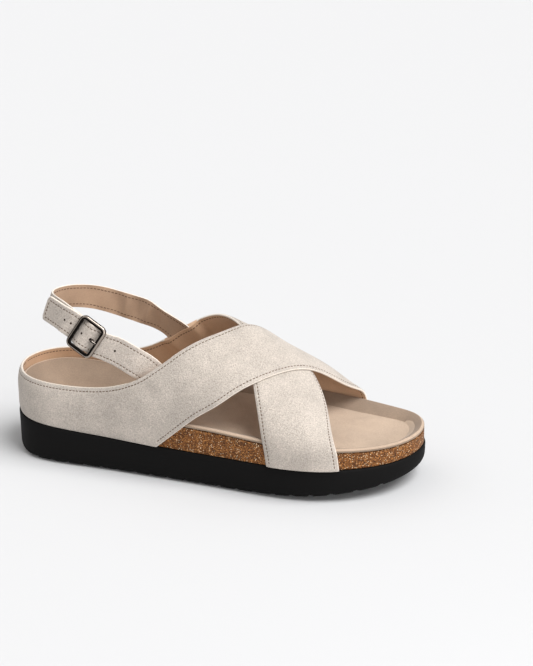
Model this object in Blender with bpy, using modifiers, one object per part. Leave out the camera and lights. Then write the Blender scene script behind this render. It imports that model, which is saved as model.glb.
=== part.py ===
"""Right cross strap sandal on a thick flat sole, in metres, +Z up.

The sandal stands on the floor plane z = 0 with its toe along +X. Its outer (little
toe) side is -Y and its inner (big toe) side is +Y. The origin is on the floor, half
way along the sole. Places along the sole are measured from the heel tip.
"""

import math
from collections import namedtuple

import bmesh
import bpy
import numpy as np
from mathutils import Vector

MM = 0.001

# Sole sizes
SOLE_LENGTH = 255 * MM
BALL_WIDTH = 90 * MM
OUTSOLE_HEEL_HEIGHT = 26 * MM
RIM_HEEL_HEIGHT = 42.8 * MM
TOE_SPRING = 9.4 * MM
SPRING_START = 146 * MM
CORK_INSET = 0.8 * MM
CORK_INSET_AT_HEEL = 2.4 * MM
FOOTBED_THICKNESS = 1.8 * MM
FOOTBED_RIM_WIDTH = 3.2 * MM
FOOTBED_SLOPE_WIDTH = 10 * MM
HEEL_CUP_DEPTH = 8 * MM
ARCH_HEIGHT = 4.5 * MM
LUG_PITCH = 11.4 * MM
LUG_GROOVE_DEPTH = 1.9 * MM
LUG_GROOVE_WIDTH = 4.4 * MM
LUG_WAVE = 2.5 * MM

# Upper sizes
INSTEP_HEIGHT = 97 * MM
WALL = 2.0 * MM
RIDGE_LEAN = 7.0 * MM
ARCH_FULLNESS = 1.66
WALL_SHARE = 0.86
HEEL_TURN = 34 * MM
JOIN_MARGIN = 0.03
JOIN_BITE = 0.5 * MM

# Strap and buckle sizes
STRAP_WIDTH = 15.4 * MM
STRAP_THICKNESS = 1.8 * MM
STRAP_LEAN = math.radians(14)
HOLE_RADIUS = 1.1 * MM
HOLE_PITCH = 9.0 * MM
PRONG_SLOT = 3.4 * MM
BUCKLE_WIRE = 1.05 * MM
BUCKLE_LENGTH = 15.8 * MM
BUCKLE_RAIL_GAP = 0.7 * MM
BUCKLE_CORNER = 3.0 * MM
BAR_RADIUS = 0.95 * MM
BAR_DROP = 2.9 * MM
LOOP_THICKNESS = 1.2 * MM
PRONG_RADIUS = 0.62 * MM

ROOT_BOW = 0.8 * MM
FREE_END_SPREAD = 0.12
FOLD_LENGTH = 15 * MM
PRONG_CROSSING = 3.1 * MM

# Clearance between pieces that touch
SEAT_GAP = 0.3 * MM

# Layers at the buckle, outward from the middle of its centre bar
LOOP_INNER = BAR_RADIUS + SEAT_GAP
LOOP_MIDDLE = LOOP_INNER + LOOP_THICKNESS / 2
LOOP_OUTER = LOOP_INNER + LOOP_THICKNESS
BILLET_OVER_BAR = LOOP_OUTER + SEAT_GAP + STRAP_THICKNESS / 2
BILLET_UNDER_SIDE = BAR_DROP - BUCKLE_WIRE - SEAT_GAP - STRAP_THICKNESS / 2
SLING_LAYER = BILLET_UNDER_SIDE - STRAP_THICKNESS / 2 - SEAT_GAP - LOOP_THICKNESS / 2
FOLD_LAYER = SLING_LAYER - LOOP_THICKNESS - SEAT_GAP
BAR_TO_SIDE = BUCKLE_LENGTH / 2 - BUCKLE_WIRE
RAIL_ACROSS = STRAP_WIDTH / 2 + BUCKLE_RAIL_GAP + BUCKLE_WIRE

# Outline of the outsole: shares of the sole length and of the ball width.
Outline = namedtuple("Outline", "along outer inner")
OUTLINE = (
    Outline(0.000, 0.008, 0.008),
    Outline(0.031, -0.244, 0.252),
    Outline(0.098, -0.363, 0.367),
    Outline(0.235, -0.394, 0.374),
    Outline(0.392, -0.424, 0.383),
    Outline(0.549, -0.461, 0.442),
    Outline(0.686, -0.501, 0.496),
    Outline(0.804, -0.486, 0.468),
    Outline(0.910, -0.354, 0.396),
    Outline(0.973, -0.169, 0.312),
    Outline(1.000, 0.092, 0.092),
)

# Heights along the sole: the outsole's ledge as a share of its height at the heel,
# the footbed's rim as a share of the rim at the heel, and how deep the footbed
# lies under that rim, as a share of the heel cup's depth.
Height = namedtuple("Height", "along ledge rim sink")
HEIGHTS = (
    Height(0.000, 1.000, 1.000, 1.00),
    Height(0.235, 0.846, 0.916, 1.00),
    Height(0.510, 0.773, 0.876, 0.62),
    Height(0.745, 0.765, 0.797, 0.55),
    Height(1.000, 0.788, 0.741, 0.60),
)

# Ridge of the last over the footbed, as a share of the instep height.
Ridge = namedtuple("Ridge", "along height")
RIDGE = (
    Ridge(0.000, 0.885),
    Ridge(0.235, 0.885),
    Ridge(0.353, 0.975),
    Ridge(0.451, 0.997),
    Ridge(0.529, 0.911),
    Ridge(0.588, 0.840),
    Ridge(0.647, 0.741),
    Ridge(0.745, 0.596),
    Ridge(0.843, 0.400),
    Ridge(1.000, 0.390),
)

# Each row matches a point of a band's front edge with one of its rear edge. Along is
# a share of the sole length. Round runs across the last: -1 at the ledge on the side
# where the band leaves the heel, 0 at the ridge, 1 at the ledge on the far side.
Band = namedtuple("Band", "front front_round rear rear_round")
OVER_BAND = (
    Band(0.000, -1.00, 0.000, -0.700),
    Band(0.067, -1.00, 0.067, -0.698),
    Band(0.134, -1.00, 0.134, -0.695),
    Band(0.200, -1.00, 0.200, -0.689),
    Band(0.300, -1.00, 0.276, -0.670),
    Band(0.404, -1.00, 0.345, -0.625),
    Band(0.508, -0.80, 0.402, -0.545),
    Band(0.579, -0.60, 0.455, -0.430),
    Band(0.638, -0.40, 0.507, -0.290),
    Band(0.691, -0.20, 0.543, -0.150),
    Band(0.736, 0.00, 0.567, 0.000),
    Band(0.775, 0.20, 0.592, 0.200),
    Band(0.803, 0.40, 0.619, 0.400),
    Band(0.820, 0.60, 0.647, 0.600),
    Band(0.832, 0.80, 0.669, 0.800),
    Band(0.844, 1.00, 0.685, 1.000),
)
UNDER_BAND = (
    Band(0.000, -1.00, 0.000, -0.700),
    Band(0.067, -1.00, 0.067, -0.697),
    Band(0.134, -1.00, 0.134, -0.688),
    Band(0.200, -1.00, 0.200, -0.671),
    Band(0.300, -1.00, 0.268, -0.632),
    Band(0.400, -1.00, 0.325, -0.580),
    Band(0.499, -0.80, 0.380, -0.505),
    Band(0.578, -0.60, 0.438, -0.385),
    Band(0.638, -0.40, 0.492, -0.250),
    Band(0.685, -0.20, 0.531, -0.120),
    Band(0.727, 0.00, 0.559, 0.000),
    Band(0.775, 0.20, 0.594, 0.200),
    Band(0.805, 0.40, 0.623, 0.400),
    Band(0.826, 0.60, 0.653, 0.600),
    Band(0.838, 0.80, 0.670, 0.800),
    Band(0.846, 1.00, 0.683, 1.000),
)
CORNER_ROW = 5

# Centre lines of the two loose straps, from the heel tip, before their roots.
StrapRow = namedtuple("StrapRow", "along across height")
SLING_ROWS = (
    StrapRow(78.5 * MM, 28.9 * MM, 77.2 * MM),
    StrapRow(68.9 * MM, 28.8 * MM, 81.2 * MM),
    StrapRow(56.3 * MM, 27.2 * MM, 85.2 * MM),
    StrapRow(44.4 * MM, 23.7 * MM, 88.4 * MM),
    StrapRow(34.5 * MM, 17.4 * MM, 91.0 * MM),
    StrapRow(27.3 * MM, 9.6 * MM, 92.4 * MM),
    StrapRow(23.8 * MM, 0.0 * MM, 93.0 * MM),
    StrapRow(25.6 * MM, -9.2 * MM, 93.6 * MM),
    StrapRow(31.5 * MM, -17.4 * MM, 94.2 * MM),
    StrapRow(39.0 * MM, -22.8 * MM, 93.2 * MM),
)
# A root's across is the side it lies on: 1 inner, -1 outer.
SLING_ROOT = StrapRow(93.3 * MM, 1, 69.0 * MM)
SLING_DEEP = StrapRow(103.0 * MM, 1, 59.5 * MM)
BUCKLE_CENTRE = StrapRow(57.5 * MM, -28.0 * MM, 83.2 * MM)
BUCKLE_AIM = (0.853, -0.080, -0.515)
BILLET_TIP = StrapRow(28.4 * MM, -20.6 * MM, 95.6 * MM)
BILLET_ROWS = (
    StrapRow(87.0 * MM, -28.4 * MM, 68.2 * MM),
    StrapRow(76.5 * MM, -28.9 * MM, 73.7 * MM),
)
BILLET_ROOT = StrapRow(95.5 * MM, -1, 63.4 * MM)
BILLET_DEEP = StrapRow(107.0 * MM, -1, 56.4 * MM)
# Places along the buckle, in mm from its centre bar, where the holed strap bends.
BILLET_STATIONS = (10, 8, 7, 6, 5, 4, 3, 2, 1, 0, -1, -2, -3, -4, -5, -6, -7, -8, -10, -14)

AROUND_STEPS = 30
BAND_STEPS = 4
BAND_ACROSS = 6
ROUTE_STEPS = 3

ORIGIN = Vector((-SOLE_LENGTH / 2, 0, 0))


def smooth(rows, steps, closed=False):
    """Points on one smooth curve through all the rows, with steps between two rows."""
    points = np.array(rows, float)
    count = len(points)
    ahead = np.roll(points, -1, axis=0)
    spans = np.sqrt(np.linalg.norm(ahead - points, axis=1))
    slopes = np.zeros((count, count))
    right = np.zeros_like(points)
    for i in range(count):
        before, after = spans[i - 1], spans[i]
        if closed or 0 < i < count - 1:
            slopes[i, i - 1] = after
            slopes[i, i] = 2 * (before + after)
            slopes[i, (i + 1) % count] = before
            right[i] = 3 * after * (points[i] - points[i - 1]) / before
            right[i] += 3 * before * (ahead[i] - points[i]) / after
        else:
            other = 1 if i == 0 else count - 2
            span = spans[min(i, other)]
            slopes[i, i] = 2
            slopes[i, other] = 1
            right[i] = 3 * (points[max(i, other)] - points[min(i, other)]) / span
    tangents = np.linalg.solve(slopes, right)
    found = []
    for i in range(count if closed else count - 1):
        j = (i + 1) % count
        for t in np.arange(steps) / steps:
            found.append(
                (2 * t**3 - 3 * t**2 + 1) * points[i]
                + (3 * t**2 - 2 * t**3) * points[j]
                + (t**3 - 2 * t**2 + t) * spans[i] * tangents[i]
                + (t**3 - t**2) * spans[i] * tangents[j]
            )
    if not closed:
        found.append(points[-1])
    return np.array(found)


def ease(share):
    """0 below 0, 1 above 1 and an even curve between."""
    share = min(max(share, 0.0), 1.0)
    return share * share * (3 - 2 * share)


def column(table, name):
    """A table's column as a smooth function of the place along the sole."""
    curve = smooth([(row.along, getattr(row, name)) for row in table], 12)
    return lambda x: float(np.interp(x / SOLE_LENGTH, curve[:, 0], curve[:, 1]))


def outline_sides():
    """The outsole's outer and inner side as dense curves from heel tip to toe tip."""
    outer = [(r.along * SOLE_LENGTH, r.outer * BALL_WIDTH) for r in OUTLINE]
    inner = [(r.along * SOLE_LENGTH, r.inner * BALL_WIDTH) for r in OUTLINE]
    loop = smooth(outer + inner[-2:0:-1], 24, closed=True)
    toe = int(np.argmax(loop[:, 0]))
    heel = int(np.argmin(loop[:, 0]))
    loop = np.roll(loop, -heel, axis=0)
    toe = (toe - heel) % len(loop)
    back = np.vstack([loop[toe:], loop[:1]])[::-1]
    return loop[: toe + 1], back


OUTER_SIDE, INNER_SIDE = outline_sides()
OUTLINE_LOOP = np.vstack([OUTER_SIDE, INNER_SIDE[-2:0:-1]])
ledge_share = column(HEIGHTS, "ledge")
rim_share = column(HEIGHTS, "rim")
sink_share = column(HEIGHTS, "sink")
ridge_share = column(RIDGE, "height")


def side_at(x, side):
    """Where the outline lies across at x: side is -1 for outer, 1 for inner."""
    curve = INNER_SIDE if side > 0 else OUTER_SIDE
    return float(np.interp(x, curve[:, 0], curve[:, 1]))


def middle(x):
    return (side_at(x, 1) + side_at(x, -1)) / 2


def ledge(x):
    """Height of the outsole's top."""
    return ledge_share(x) * OUTSOLE_HEEL_HEIGHT


def rim(x):
    """Height of the footbed's rim."""
    return rim_share(x) * RIM_HEEL_HEIGHT


def spring(x):
    """Height of the outsole's bottom, which curls up to the toe."""
    return TOE_SPRING * (max(0.0, x - SPRING_START) / (SOLE_LENGTH - SPRING_START)) ** 2


def cork_inset(x):
    """How far the cork stands back from the outsole's edge."""
    forward = ease((x / SOLE_LENGTH - 0.24) / 0.24)
    return CORK_INSET_AT_HEEL + (CORK_INSET - CORK_INSET_AT_HEEL) * forward


def edge_distance(x, y):
    """Distance of a point inside the outline from the outline."""
    return float(np.hypot(OUTLINE_LOOP[:, 0] - x, OUTLINE_LOOP[:, 1] - y).min())


def footbed(x, y):
    """Height of the footbed's face: a raised rim, a heel cup and an arch."""
    depth = edge_distance(x, y) - cork_inset(x)
    crown = ease(depth / (FOOTBED_RIM_WIDTH / 2))
    inside = ease((depth - FOOTBED_RIM_WIDTH) / FOOTBED_SLOPE_WIDTH)
    share = x / SOLE_LENGTH
    arch = math.exp(-(((share - 0.43) / 0.13) ** 2))
    reach = (y - middle(x)) / (BALL_WIDTH / 2)
    arch *= ease(reach / 0.9)
    height = rim(x) - 0.8 * MM * (1 - crown)
    return height - inside * sink_share(x) * HEEL_CUP_DEPTH + inside * arch * ARCH_HEIGHT


def place(x, y, z):
    return Vector((x, y, z)) + ORIGIN


def outline_stations():
    """Places round the sole, close together at heel and toe, with the inward way."""
    stations = []
    for side in (-1, 1):
        rows = range(AROUND_STEPS + 1) if side < 0 else range(AROUND_STEPS - 1, 0, -1)
        curve = OUTER_SIDE if side < 0 else INNER_SIDE
        lengths = np.hypot(*np.diff(curve, axis=0).T)
        travelled = np.concatenate([[0], np.cumsum(lengths)])
        for i in rows:
            share = (1 - math.cos(math.pi * i / AROUND_STEPS)) / 2
            share = 0.45 * share + 0.55 * i / AROUND_STEPS
            where = share * travelled[-1]
            x = float(np.interp(where, travelled, curve[:, 0]))
            y = float(np.interp(where, travelled, curve[:, 1]))
            near = int(np.argmin(np.hypot(OUTLINE_LOOP[:, 0] - x, OUTLINE_LOOP[:, 1] - y)))
            total = len(OUTLINE_LOOP)
            way = OUTLINE_LOOP[(near + 2) % total] - OUTLINE_LOOP[near - 2]
            way = way / np.linalg.norm(way)
            stations.append((x, y, -way[1], way[0]))
    return stations


STATIONS = outline_stations()


def ring(inset, height):
    """Points all round the sole, this far inside its outline."""
    points = []
    for x, y, inward_x, inward_y in STATIONS:
        step = inset(x) if callable(inset) else inset
        px, py = x + inward_x * step, y + inward_y * step
        points.append((px, py, height(px, py)))
    return points


def stack(name, rings, bottom, top, across):
    """A closed solid from rings, the first at the bottom, with a cap at each end."""
    mesh = bmesh.new()
    levels = [[mesh.verts.new(place(*p)) for p in points] for points in rings]
    count = len(levels[0])
    for low, high in zip(levels, levels[1:]):
        for i in range(count):
            j = (i + 1) % count
            mesh.faces.new((low[i], low[j], high[j], high[i]))
    for level, height, cells, up in (
        (levels[0], bottom, across[0], False),
        (levels[-1], top, across[1], True),
    ):
        rows = [[level[0]]]
        for i in range(1, AROUND_STEPS):
            first, last = level[i], level[count - i]
            row = [first]
            for k in range(1, cells):
                point = first.co.lerp(last.co, k / cells) - ORIGIN
                row.append(mesh.verts.new(place(point.x, point.y, height(point.x, point.y))))
            rows.append(row + [last])
        rows.append([level[AROUND_STEPS]])
        for near, far in zip(rows, rows[1:]):
            for k in range(cells):
                a, b = near[min(k, len(near) - 1)], near[min(k + 1, len(near) - 1)]
                c, d = far[min(k + 1, len(far) - 1)], far[min(k, len(far) - 1)]
                corners = [v for i, v in enumerate((a, d, c, b)) if v not in (a, d, c, b)[:i]]
                if not up:
                    corners.reverse()
                mesh.faces.new(corners)
    return finish(name, mesh)


def finish(name, mesh, smooth_angle=35):
    """Turns a bmesh into an object of the sandal, shaded smooth between its edges."""
    bmesh.ops.recalc_face_normals(mesh, faces=mesh.faces)
    data = bpy.data.meshes.new(name)
    mesh.to_mesh(data)
    mesh.free()
    data.shade_smooth()
    data.set_sharp_from_angle(angle=math.radians(smooth_angle))
    made = bpy.data.objects.new(name, data)
    SANDAL.objects.link(made)
    return made


def use_as_cutter(made):
    """Moves a helper to the cutters, where it isn't rendered."""
    SANDAL.objects.unlink(made)
    CUTTERS.objects.link(made)
    made.hide_render = True
    made.display_type = "WIRE"
    return made


def combine(target, other, operation):
    step = target.modifiers.new(other.name, "BOOLEAN")
    step.operation = operation
    step.solver = "EXACT"
    step.object = other


def new_material(name, colour, roughness, metallic=0.0):
    material = bpy.data.materials.new(name)
    material.use_nodes = True
    shader = material.node_tree.nodes["Principled BSDF"]
    shader.inputs["Base Color"].default_value = (*colour, 1)
    shader.inputs["Roughness"].default_value = roughness
    shader.inputs["Metallic"].default_value = metallic
    return material


# Outsole
def make_outsole():
    def bottom(lift):
        return lambda x, y: spring(x) + lift

    def below_top(drop):
        return lambda x, y: ledge(x) - drop

    rings = [
        ring(5.0 * MM, bottom(0)),
        ring(2.4 * MM, bottom(0.5 * MM)),
        ring(1.0 * MM, bottom(1.7 * MM)),
        ring(0.2 * MM, bottom(4.2 * MM)),
        ring(0, below_top(1.2 * MM)),
        ring(0.5 * MM, below_top(0.2 * MM)),
        ring(1.4 * MM, below_top(0)),
    ]
    outsole = stack("outsole", rings, bottom(0), below_top(0), (2, 1))
    combine(outsole, use_as_cutter(make_lug_grooves()), "DIFFERENCE")
    return outsole


def make_lug_grooves():
    """Shallow waved grooves across the sole, which leave the lugs between them."""
    mesh = bmesh.new()
    count = int((SOLE_LENGTH - LUG_PITCH) / LUG_PITCH)
    half_width = BALL_WIDTH * 0.62
    cells = 8
    start = SOLE_LENGTH / 2 - (int(SOLE_LENGTH / 2 / LUG_PITCH) - 0.5) * LUG_PITCH
    for i in range(count):
        centre = start + i * LUG_PITCH
        if centre > SOLE_LENGTH - LUG_GROOVE_WIDTH:
            break
        base = spring(centre)
        half = LUG_GROOVE_WIDTH / 2
        section = (
            (-half * 1.6, base - 6 * MM),
            (-half, spring(centre - half)),
            (-half * 0.4, base + LUG_GROOVE_DEPTH),
            (half * 0.4, base + LUG_GROOVE_DEPTH),
            (half, spring(centre + half)),
            (half * 1.6, base - 6 * MM),
        )
        sections = []
        for k in range(cells + 1):
            y = half_width * (2 * k / cells - 1)
            shift = LUG_WAVE * math.cos(math.pi * k)
            sections.append(
                [mesh.verts.new(place(centre + shift + dx, y, z)) for dx, z in section]
            )
        join_sections(mesh, sections)
    return finish("lug_grooves", mesh)


def join_sections(mesh, sections):
    """Skins a row of like sections and closes both ends."""
    count = len(sections[0])
    for near, far in zip(sections, sections[1:]):
        for i in range(count):
            j = (i + 1) % count
            mesh.faces.new((near[i], near[j], far[j], far[i]))
    mesh.faces.new(list(reversed(sections[0])))
    mesh.faces.new(sections[-1])


# Cork midsole
def make_midsole():
    def on_ledge(x, y):
        return ledge(x) + SEAT_GAP

    def under_footbed(x, y):
        return footbed(x, y) - FOOTBED_THICKNESS - SEAT_GAP

    def edge_height(x, y):
        return rim(x) - FOOTBED_THICKNESS - SEAT_GAP - 0.5 * MM

    def inside(extra):
        return lambda x: cork_inset(x) + extra

    rings = [
        ring(inside(0.3 * MM), on_ledge),
        ring(inside(0), lambda x, y: on_ledge(x, y) + 0.8 * MM),
        ring(inside(0), edge_height),
        ring(inside(1.6 * MM), under_footbed),
        ring(inside(FOOTBED_RIM_WIDTH), under_footbed),
        ring(inside(FOOTBED_RIM_WIDTH + FOOTBED_SLOPE_WIDTH / 2), under_footbed),
        ring(inside(FOOTBED_RIM_WIDTH + FOOTBED_SLOPE_WIDTH), under_footbed),
    ]
    return stack("midsole", rings, on_ledge, under_footbed, (1, 4))


# Footbed cover
def make_insole():
    def under(x, y):
        return footbed(x, y) - FOOTBED_THICKNESS

    def edge(lift):
        return lambda x, y: rim(x) - FOOTBED_THICKNESS - 0.2 * MM + lift

    def inside(extra):
        return lambda x: cork_inset(x) + extra

    slope = (0.25, 0.5, 0.75, 1.0)
    below = [FOOTBED_RIM_WIDTH + FOOTBED_SLOPE_WIDTH * share for share in slope[1::2]]
    above = [FOOTBED_RIM_WIDTH + FOOTBED_SLOPE_WIDTH * share for share in slope]
    rings = [ring(inside(extra), under) for extra in reversed(below)]
    rings.append(ring(inside(FOOTBED_RIM_WIDTH), under))
    rings.append(ring(inside(1.6 * MM), under))
    rings.append(ring(inside(0.3 * MM), edge(0)))
    rings.append(ring(inside(0), edge(0.9 * MM)))
    rings.append(ring(inside(0.8 * MM), lambda x, y: rim(x) - 0.25 * MM))
    rings.append(ring(inside(1.8 * MM), footbed))
    rings.append(ring(inside(FOOTBED_RIM_WIDTH), footbed))
    rings.extend(ring(inside(extra), footbed) for extra in above)
    return stack("insole", rings, under, footbed, (4, 4))


def heel_fan():
    """The outline behind the heel's centre, by angle round that centre."""
    centre = np.array((HEEL_TURN, middle(HEEL_TURN)))
    behind = OUTLINE_LOOP[OUTLINE_LOOP[:, 0] < HEEL_TURN + 8 * MM] - centre
    angles = np.arctan2(behind[:, 1], -behind[:, 0])
    order = np.argsort(angles)
    return angles[order], np.hypot(*behind[order].T)


HEEL_ANGLES, HEEL_REACHES = heel_fan()


# The last, whose surface is the upper's lining
def last_base(x, side):
    """Where the wall starts at this place: its centre, way out, reach and own x."""
    if x >= HEEL_TURN:
        centre_y = middle(x)
        reach = abs(side_at(x, side) - centre_y)
        return (x, centre_y), (0.0, float(side)), reach, x
    turn = (1 - x / HEEL_TURN) * math.pi / 2
    centre = (HEEL_TURN, middle(HEEL_TURN))
    way = (-math.sin(turn), side * math.cos(turn))
    angle = math.atan2(way[1], -way[0])
    reach = float(np.interp(angle, HEEL_ANGLES, HEEL_REACHES))
    return centre, way, reach, centre[0] + way[0] * reach


def last_point(x, turn):
    """A point of the last: turn is -1 at the outer ledge, 1 at the inner one."""
    side = -1 if turn < 0 else 1
    centre, way, reach, base_x = last_base(x, side)
    reach -= cork_inset(base_x) - SEAT_GAP
    low, shoulder = ledge(base_x) + SEAT_GAP, rim(base_x)
    if abs(turn) >= WALL_SHARE:
        height = low + (shoulder - low) * (1 - abs(turn)) / (1 - WALL_SHARE)
        return np.array((centre[0] + way[0] * reach, centre[1] + way[1] * reach, height))
    angle = (1 - abs(turn) / WALL_SHARE) * math.pi / 2
    rise = math.sin(angle) ** (2 / ARCH_FULLNESS)
    out = reach * max(math.cos(angle), 0.0) ** (2 / ARCH_FULLNESS)
    height = shoulder + (ridge_share(base_x) * INSTEP_HEIGHT - shoulder) * rise
    lean = RIDGE_LEAN * ease((x / SOLE_LENGTH - 0.157) / 0.235) * rise**1.5
    return np.array((centre[0] + way[0] * out, centre[1] + way[1] * out + lean, height))


def last_normal(x, turn):
    """The way out of the last at a point of it."""
    step = 0.004
    low, high = max(turn - step, -1.0), min(turn + step, 1.0)
    if abs(abs(turn) - WALL_SHARE) < step:
        low, high = (turn, high) if turn < 0 else (low, turn)
    if low < 0 < high:
        high, low = step, -step
    across = last_point(x, high) - last_point(x, low)
    forward = last_point(x + 1.0 * MM, turn) - last_point(max(x - 1.0 * MM, 0), turn)
    normal = np.cross(forward, across)
    centre = np.array((max(x, HEEL_TURN), middle(max(x, HEEL_TURN)), rim(x)))
    if normal @ (last_point(x, turn) - centre) < 0:
        normal = -normal
    return normal / np.linalg.norm(normal)


def off_last(x, turn, out):
    return last_point(x, turn) + last_normal(x, turn) * out


def band_sections(table, way_round, lift):
    """Sections of one band from the heel's back to its forefoot end.

    Each section is a row of points from the front or bottom edge to the rear edge.
    The band leaves the heel on the outer side where way_round is 1, else on the inner.
    """
    rows = [(b.front, b.front_round, b.rear, b.rear_round) for b in table]
    bottom = [r[:2] for r in rows[: CORNER_ROW + 1]]
    front = smooth(bottom, BAND_STEPS)[:-1]
    front = np.vstack([front, smooth([r[:2] for r in rows[CORNER_ROW:]], BAND_STEPS)])
    rear = smooth([r[2:] for r in rows], BAND_STEPS)
    sections = []
    for (fx, fr), (rx, rr) in zip(front, rear):
        section = []
        for k in range(BAND_ACROSS + 1):
            share = k / BAND_ACROSS
            x = (fx + (rx - fx) * share) * SOLE_LENGTH
            turn = min(max(fr + (rr - fr) * share, -1.0), 1.0)
            section.append(off_last(x, turn * way_round, lift(x, turn)))
        sections.append(section)
    return sections


def over_lift(x, turn):
    """The over band rises by one wall where the under band passes below it."""
    from_heel = ease((x / SOLE_LENGTH - 0.15) / 0.20)
    return (WALL + SEAT_GAP) * from_heel * ease((0.80 - abs(turn)) / 0.25)


# Upper: one ribbon round the heel, whose two ends cross over the instep
def make_upper():
    outer = band_sections(OVER_BAND, 1, over_lift)
    inner = band_sections(UNDER_BAND, -1, lambda x, turn: 0.0)
    mesh = bmesh.new()
    sections = list(reversed(outer)) + inner[1:]
    grid = [[mesh.verts.new(place(*p)) for p in section] for section in sections]
    for near, far in zip(grid, grid[1:]):
        for k in range(BAND_ACROSS):
            mesh.faces.new((near[k], near[k + 1], far[k + 1], far[k]))
    upper = finish("upper", mesh)
    face_out(upper)
    thicken(upper, WALL)
    combine(upper, use_as_cutter(make_join_pad()), "UNION")
    return upper


def face_out(made):
    """Turns an open shell's faces away from the middle of the foot."""
    inside = place(SOLE_LENGTH / 2, 0, rim(SOLE_LENGTH / 2))
    face = max(made.data.polygons, key=lambda p: p.area)
    if face.normal.dot(face.center - inside) < 0:
        made.data.flip_normals()


def thicken(made, thickness):
    solidify = made.modifiers.new("wall", "SOLIDIFY")
    solidify.thickness = thickness
    solidify.offset = 1
    solidify.use_even_offset = True


def make_join_pad():
    """The stitched patch that holds the two bands together where they cross."""
    over = smooth([(b.front_round, b.front) for b in OVER_BAND[CORNER_ROW:]], 8)
    over_rear = smooth([(b.rear_round, b.rear) for b in OVER_BAND], 8)
    under = smooth([(b.front_round, b.front) for b in UNDER_BAND[CORNER_ROW:]], 8)
    under_rear = smooth([(b.rear_round, b.rear) for b in UNDER_BAND], 8)
    grid = []
    mesh = bmesh.new()
    # The over band leaves the heel on the outer side, the under band on the inner.
    for turn in np.linspace(-0.3, 0.3, 9):
        rears = (
            np.interp(turn, over_rear[:, 0], over_rear[:, 1]),
            np.interp(-turn, under_rear[:, 0], under_rear[:, 1]),
        )
        fronts = (
            np.interp(turn, over[:, 0], over[:, 1]),
            np.interp(-turn, under[:, 0], under[:, 1]),
        )
        rear, front = max(rears) + JOIN_MARGIN / 2, min(fronts) - JOIN_MARGIN / 2
        row = []
        for k in range(4):
            x = (rear + (front - rear) * k / 3) * SOLE_LENGTH
            row.append(mesh.verts.new(place(*off_last(x, turn, WALL - JOIN_BITE))))
        grid.append(row)
    for near, far in zip(grid, grid[1:]):
        for k in range(3):
            mesh.faces.new((near[k], near[k + 1], far[k + 1], far[k]))
    pad = finish("join_pad", mesh)
    face_out(pad)
    thicken(pad, SEAT_GAP + 2 * JOIN_BITE)
    return pad


# Loose straps
def against_band(row, thickness):
    """A strap's root on the lining at this place along and height, and its way out."""
    side = row.across
    turns = np.linspace(WALL_SHARE, 0.2, 200)
    heights = [last_point(row.along, side * turn)[2] for turn in turns]
    turn = side * float(np.interp(row.height, heights, turns))
    spot = off_last(row.along, turn, -SEAT_GAP - thickness / 2)
    return tuple(spot), Vector(last_normal(row.along, turn))


def frames_along(points, outward_side, root_out):
    """At each point of a centre line, the ways along, up its width and outward.

    The strap lies flat on the band at its root, and then turns to its own lean.
    """
    frames = []
    for i, point in enumerate(points):
        ahead = points[min(i + 1, len(points) - 1)] - points[max(i - 1, 0)]
        along = Vector(ahead).normalized()
        outward = Vector((along.y, -along.x, 0)).normalized() * outward_side
        leaned = outward * math.cos(STRAP_LEAN) + Vector((0, 0, math.sin(STRAP_LEAN)))
        free = ease((i - ROUTE_STEPS) / (2 * ROUTE_STEPS))
        facing = root_out.lerp(leaned, free)
        out = (facing - along * facing.dot(along)).normalized()
        width = out.cross(along)
        if width.z < 0:
            width = -width
        frames.append((Vector(point), width, out, ROOT_BOW * (1 - free)))
    return frames


def strap_section(point, width, out, half_width, half_thick, bow=0.0):
    """Corners of a strap's section, its edges a little rounded and bent in by bow."""
    bevel = half_thick * 0.6
    corners = (
        (-half_width + bevel, -half_thick),
        (0, -half_thick),
        (half_width - bevel, -half_thick),
        (half_width, 0),
        (half_width - bevel, half_thick),
        (0, half_thick),
        (-half_width + bevel, half_thick),
        (-half_width, 0),
    )
    return [point + width * w + out * (n - bow * (w / half_width) ** 2) for w, n in corners]


BUCKLE_ORIGIN = Vector((BUCKLE_CENTRE.along, BUCKLE_CENTRE.across, BUCKLE_CENTRE.height))


def buckle_axes():
    """The buckle's ways: along the strap to its root, across the strap, outward."""
    along = Vector(BUCKLE_AIM).normalized()
    outward = Vector((along.y, -along.x, 0)).normalized()
    up = Vector((0, 0, 1)) * math.cos(STRAP_LEAN) - outward * math.sin(STRAP_LEAN)
    across = (up - along * up.dot(along)).normalized()
    out = along.cross(across)
    if out.dot(outward) < 0:
        out = -out
    return along, across, out


BUCKLE_ALONG, BUCKLE_ACROSS, BUCKLE_OUT = buckle_axes()


def at_buckle(along, across, out):
    """A point given in the buckle's own ways, from the middle of its centre bar."""
    spot = BUCKLE_ORIGIN + BUCKLE_ALONG * along
    return spot + BUCKLE_ACROSS * across + BUCKLE_OUT * out


def sling_end_profile():
    """The sling's end beside the buckle: over the centre bar and back under itself."""
    points = [
        (-11 * MM, SLING_LAYER),
        (-5.2 * MM, SLING_LAYER),
        (-3.4 * MM, SLING_LAYER + 0.5 * MM),
    ]
    for degrees in range(130, -101, -23):
        angle = math.radians(degrees)
        points.append((LOOP_MIDDLE * math.cos(angle), LOOP_MIDDLE * math.sin(angle)))
    points.append((-3.2 * MM, FOLD_LAYER + 0.1 * MM))
    points.append((-5.5 * MM, FOLD_LAYER))
    points.append((-FOLD_LENGTH, FOLD_LAYER))
    return points


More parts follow.
